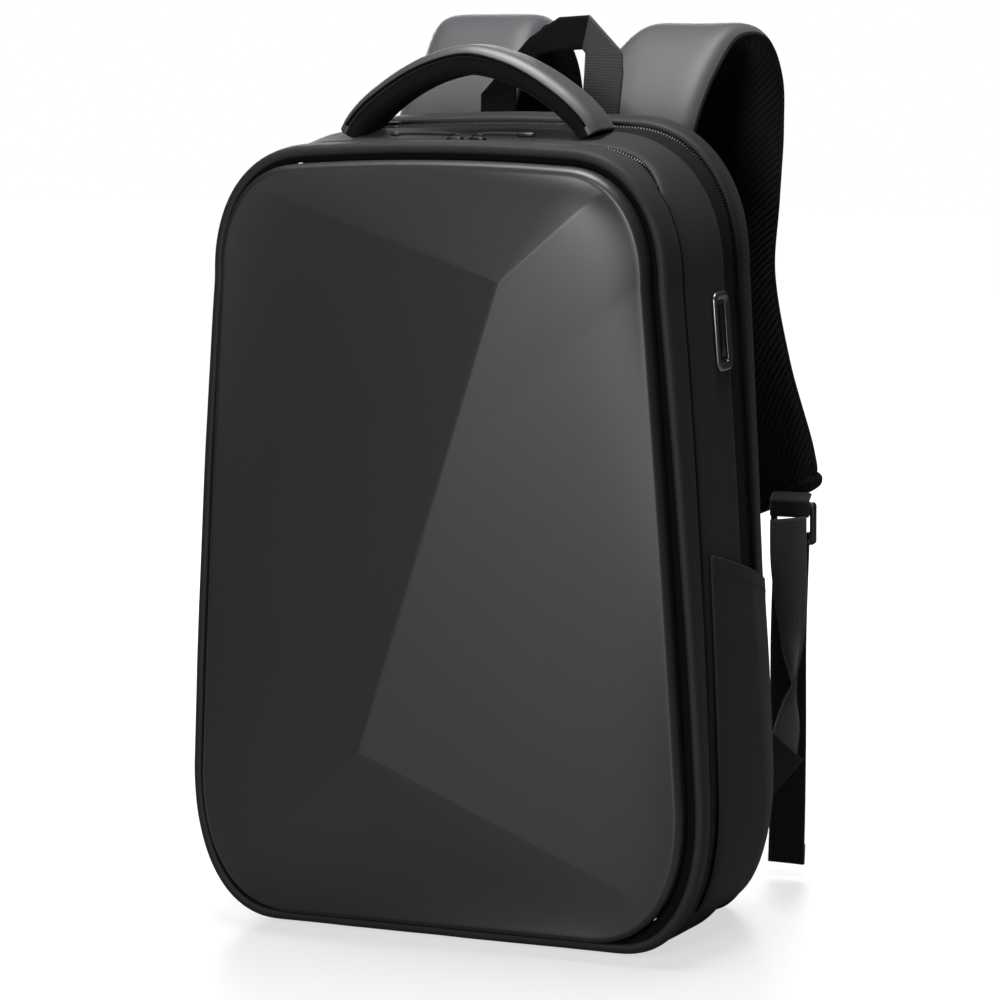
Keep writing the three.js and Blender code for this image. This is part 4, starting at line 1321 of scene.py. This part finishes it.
def make_lock(label, side):
    x, y, low = lock_place(label)
    middle = low + LOCK["tall"] / 2

    def ring(wide, tall, radius, depth):
        corners = rounded(wide, tall, radius, 5)
        return [flipped(Vector((x + a, y + depth, middle + b)), side) for a, b in corners]

    wide, tall, thick, bar = LOCK["wide"], LOCK["tall"], LOCK["thick"], LOCK["bar"]
    inner = (wide - 2 * bar, tall - 4.5 * bar)
    rings = [
        ring(wide, tall, 2.4, 0.9),
        ring(wide, tall, 2.4, thick - 0.9),
        ring(wide - 0.8, tall - 0.8, 2.2, thick - 0.2),
        ring(wide - 2, tall - 2, 1.8, thick),
        ring(inner[0] + 1, inner[1] + 1, 1.6, thick),
        ring(*inner, 1.2, thick - 0.6),
        ring(*inner, 1.2, 0.6),
        ring(inner[0] + 1, inner[1] + 1, 1.6, 0),
        ring(wide - 2, tall - 2, 1.8, 0),
        ring(wide - 0.8, tall - 0.8, 2.2, 0.2),
    ]
    lock = loft("lock_frame_" + label, rings, black_plastic, "loop")
    place(lock, "black_plastic", "ladder_lock_" + label)


def strip(name, rows, side, material, node_name):
    """A strip of webbing. A row is a place and the direction that its width lies along."""
    stations = frames(rows, 60, lambda row: row[3:6])
    grid_rows = []
    for centre, across, normal, _ in stations:
        row = []
        for i in range(9):
            s = -1 + i / 4
            rise = TAPE / 2 - 0.1 - 0.35 * s * s
            row.append(flipped(centre + across * (s * WEB_WIDE / 2) + normal * rise, side))
        grid_rows.append(row)
    piece = grid(name, grid_rows, material, TAPE - 0.3, 0)
    face_along(piece, flipped(stations[len(stations) // 2][2], side))
    place(piece, "webbing", node_name)
    return stations


def make_webbing(label, side):
    x, y, low = lock_place(label)
    front = y - GAP - TAPE / 2
    tail = []
    for down, drift, swing in TAIL_ROWS:
        tail.append((x + drift * 2, front - swing * 14.9, blend(low + 3.5, 7, down), 1, 0, 0))
    # The free end takes the darker copy of the webbing, as painted shade.
    stations = strip("tail_strip_" + label, tail, side, web_painted_shade, "tail_webbing_" + label)
    hem = []
    for centre, across, normal, _ in stations[-9:]:
        top = centre + normal * (TAPE / 2 + 0.25)
        hem.append([flipped(top + across * (s * WEB_WIDE / 2), side) for s in BAND_ACROSS])
    place(grid("tail_hem_" + label, hem, web_painted_shade, 1.0, 0, offset=1), "webbing")
    outward = Vector((0, -1, 0))
    seam = [(hem[1][k] + outward * 1.2, outward) for k in (0, 2, 4)]
    place(bars("tail_stitch_" + label, seam, thread, 2.4, (1.8, 0.5, 0.35), sink=0.1), "webbing")
    start = Vector((x, front - TAPE - GAP, low + 15.5))
    high = wing_seam(WING["height"] + WING["half"])
    across = Vector((WING["back"], -WING["out"], 0)).normalized()
    end = (high + wing_tip()) / 2 - across * 0.9 - Vector((0, 0, 4))
    anchor = []
    for along, bow_x, bow_y, *way in ANCHOR_ROWS:
        at = start.lerp(end, along)
        anchor.append((at.x + bow_x * 12, at.y + bow_y * 12, at.z, *way))
    # The lower strand takes the lighter copy of the webbing, as painted light.
    strip("anchor_strip_" + label, anchor, side, web_painted_lit, "anchor_webbing_" + label)


# The wing tab: a triangle of doubled cloth.
WING = {"height": 82, "half": 20, "out": 14.6, "back": 17.4, "thick": 2.4}


def wing_seam(height):
    return side_point(BODY_DEPTH - CLOTH * 0.58, height, -GAP * 1.5)


def wing_tip():
    low = wing_seam(WING["height"] - WING["half"])
    high = wing_seam(WING["height"] + WING["half"])
    return (low + high) / 2 + Vector((WING["out"], WING["back"], 0))


def make_wing(label, side):
    low = wing_seam(WING["height"] - WING["half"])
    high = wing_seam(WING["height"] + WING["half"])
    tip = wing_tip()
    across = Vector((WING["back"], -WING["out"], 0)).normalized()
    middle = (low + high + tip) / 3
    rings = []
    for depth, shrink in ((0.15, 0.97), (0.5, 1.0), (1.9, 1.0), (2.3, 0.97), (2.4, 0.9)):
        ring = []
        for a, b in ((low, high), (high, tip), (tip, low)):
            for k in range(12):
                point = a.lerp(b, k / 12)
                ring.append(flipped(middle + (point - middle) * shrink + across * depth, side))
        rings.append(ring)
    place(loft("wing_cloth_" + label, rings, rear_cloth, "caps"), "dark_cloth", "wing_tab_" + label)
    path = []
    for a, b in ((low, tip), (tip, high)):
        for k in range(10):
            point = middle + (a.lerp(b, k / 9) - middle) * 0.84
            path.append((flipped(point + across * 2.4, side), flipped(across, side)))
    place(bars("wing_stitch_" + label, path, thread, 3.2, (2.3, 0.5, 0.35), sink=0.08), "dark_cloth")


# Zip sliders and pulls. A slider's row is its place along, its width and its height, in shares,
# and a grip's row is its place along and its radius.
SLIDER_ROWS = (
    (-0.5, 0.55, 0.5), (-0.42, 0.8, 0.62), (-0.2, 0.9, 0.68),
    (0.1, 1.0, 0.68), (0.38, 1.0, 0.62), (0.5, 0.8, 0.5),
)
GRIP_ROWS = ((0, 1.0), (0.06, 1.5), (0.15, 1.8), (0.5, 1.75), (0.85, 1.8), (0.96, 1.4), (1, 0.7))


def slider_body(name, centre, ahead, up, size, nodes):
    """A waisted slider with a bridge over it."""
    side = up.cross(ahead).normalized()
    long, wide, tall = size
    rings = []
    for share, narrow, high in SLIDER_ROWS:
        ring = []
        for a, b in rounded(1, 1, 0.3, 3):
            n = high * (b + 0.5) * tall
            ring.append(centre + ahead * (share * long) + side * (a * wide * narrow) + up * (n - tall / 2))
        rings.append(ring)
    body = loft(name, rings, zip_metal, "caps")
    place(body, "zip_metal", *nodes)
    bridge = []
    for k in range(13):
        t = math.pi * k / 12
        rise = tall * 0.16 + math.sin(t) * tall * 0.3
        bridge.append(centre + ahead * (-math.cos(t) * long * 0.3) + up * rise)
    place(tube(name + "_bridge", bridge, 0.55, zip_metal, 6), "zip_metal")


def make_sliders():
    y = 19.5 + (1.2 + RIM_BACK + ZIP_BACK) / 2
    top = top_point(0, y).z
    for label, at, turn, cord, knob in (("a", 0, -1, 27, 5), ("b", 13, 1, 19.2, 10)):
        centre = Vector((at, y, top - ZIP_SUNK + GAP + 2))
        ahead, up = Vector((turn, 0, 0)), Vector((0, 0, 1))
        slider_body("slider_" + label, centre, ahead, up, (9, 5, 4), ["front_slider_" + label])
        start = at + turn * 2.5
        bend = at + turn * (4.85 + cord)
        z = top + 2.6
        path = []
        for k in range(25):
            s = k / 24
            x = blend(start, bend, s)
            path.append(Vector((x, y - 1.5 * s, z + 0.5 * math.sin(math.pi * s) + 0.1 * math.sin(s * 9))))
        place(tube("pull_cord_" + label, path, 0.95, web_painted_shade, 8), "cord", "front_pull_" + label)
        rings = []
        for s, radius in GRIP_ROWS:
            middle = Vector((bend + turn * (knob * s - 0.5), y - 1.8, z))
            rings.append(circle(middle, Vector((0, 1, 0)), Vector((0, 0, 0.8)), radius, 10))
        place(loft("pull_grip_" + label, rings, black_plastic, "caps"), "cord")
    y = RECESS_END - 10
    spot = top_point(70, y, -3)
    centre = Vector((-70, y, spot.z + 2.2))
    tilt = (top_point(64, y).z - top_point(76, y).z) / 12
    ahead = Vector((-1, 0, -tilt)).normalized()
    up = Vector((-tilt, 0, 1)).normalized()
    slider_body("slider_rear", centre, ahead, up, (11.7, 6, 3.4), ["rear_slider"])


for make in (make_shell, make_binding, make_rim, make_front_zip, make_main_gusset, make_rear_zip):
    make()
for make in (make_rear_gusset, make_edge_piping, make_back, make_port, make_handle, make_haul, make_sliders):
    make()
for label, side in (("right", 1), ("left", -1)):
    make_pocket(label, side)
    make_strap(label, side)
    make_lock(label, side)
    make_webbing(label, side)
    make_wing(label, side)


# The studio: a pale floor, and soft lights above, behind and in front.
WORLD_DIM = 0.04
FLOOR_COLOUR = (0.24, 0.24, 0.24)
FLOOR_REACH = 6.0


def area_light(name, place_at, target, size, power):
    data = bpy.data.lights.new(name, "AREA")
    data.shape = "RECTANGLE"
    data.size, data.size_y = size
    data.energy = power
    light = bpy.data.objects.new(name, data)
    light.location = place_at
    light.rotation_euler = (Vector(target) - Vector(place_at)).to_track_quat("-Z", "Y").to_euler()
    bpy.context.scene.collection.objects.link(light)


def floor_painted_glow():
    """Pale floor with a painted glow for camera rays only. The glow rises from 0.64 near the bag to full
    white far out, so that soft shadows near the bag still show.
    """
    material, tree, shader = new_material("floor_painted_glow")
    space = node(tree, "ShaderNodeTexCoord").outputs["Object"]
    socket(tree, shader.inputs["Base Color"], tint(tree, cloud(tree, space, 3), FLOOR_COLOUR, 0.01))
    dress(shader, Roughness=0.5, Specular_IOR_Level=0.2, Emission_Color=(1, 1, 1, 1))
    length = node(tree, "ShaderNodeVectorMath", operation="LENGTH")
    tree.links.new(space, length.inputs[0])
    glow = node(tree, "ShaderNodeMapRange", interpolation_type="SMOOTHSTEP")
    dress(glow, From_Min=0.35, From_Max=1.1, To_Min=0.64, To_Max=1.0)
    tree.links.new(length.outputs["Value"], glow.inputs["Value"])
    seen = node(tree, "ShaderNodeLightPath").outputs["Is Camera Ray"]
    strength = maths(tree, "MULTIPLY", glow.outputs["Result"], seen)
    tree.links.new(strength, shader.inputs["Emission Strength"])
    return material


def make_studio():
    mesh = bpy.data.meshes.new("floor")
    corners = [(x * FLOOR_REACH, y * FLOOR_REACH, 0) for x, y in ((-1, -1), (1, -1), (1, 1), (-1, 1))]
    mesh.from_pydata(corners, [], [(0, 1, 2, 3)])
    mesh.materials.append(floor_painted_glow())
    floor = bpy.data.objects.new("floor", mesh)
    bpy.context.scene.collection.objects.link(floor)
    make_world()
    area_light("top_light", (0.05, 0.05, 1.75), (0, 0.1, 0.4), (0.9, 0.7), 37)
    area_light("rear_light", (-0.8, 1.75, 0.75), (0, 0.1, 0.45), (1.4, 0.5), 17)
    area_light("front_light", (0.2, -1.9, 0.75), (0.05, 0, 0.3), (0.35, 0.6), 29.5)


def make_world():
    """White where it is seen, and dim where it lights the bag."""
    world = bpy.data.worlds.new("studio")
    world.use_nodes = True
    tree = world.node_tree
    background = tree.nodes["Background"]
    background.inputs["Color"].default_value = (1, 1, 1, 1)
    path = tree.nodes.new("ShaderNodeLightPath")
    strength = node(tree, "ShaderNodeMapRange")
    dress(strength, To_Min=WORLD_DIM, To_Max=1.0)
    tree.links.new(path.outputs["Is Camera Ray"], strength.inputs["Value"])
    tree.links.new(strength.outputs["Result"], background.inputs["Strength"])
    bpy.context.scene.world = world


make_studio()
bpy.context.scene.view_settings.view_transform = "Standard"

# The camera stands at the photo's place.
CAMERA_AT = Vector((0.7418, -1.7530, 0.5124))
CAMERA_TO = Vector((0.01228, -0.009, 0.23594))
CAMERA_ROLL = math.radians(-0.59)
CAMERA_LENS = 125.6


def make_camera():
    data = bpy.data.cameras.new("camera")
    data.lens = CAMERA_LENS
    data.sensor_width = 36
    data.clip_start = 0.05
    camera = bpy.data.objects.new("camera", data)
    forward = (CAMERA_TO - CAMERA_AT).normalized()
    right = forward.cross(Vector((0, 0, 1))).normalized()
    up = right.cross(forward)
    turned_right = right * math.cos(CAMERA_ROLL) + up * math.sin(CAMERA_ROLL)
    turned_up = up * math.cos(CAMERA_ROLL) - right * math.sin(CAMERA_ROLL)
    matrix = Matrix((turned_right, turned_up, -forward)).transposed().to_4x4()
    matrix.translation = CAMERA_AT
    camera.matrix_world = matrix
    bpy.context.scene.collection.objects.link(camera)
    bpy.context.scene.camera = camera


make_camera()
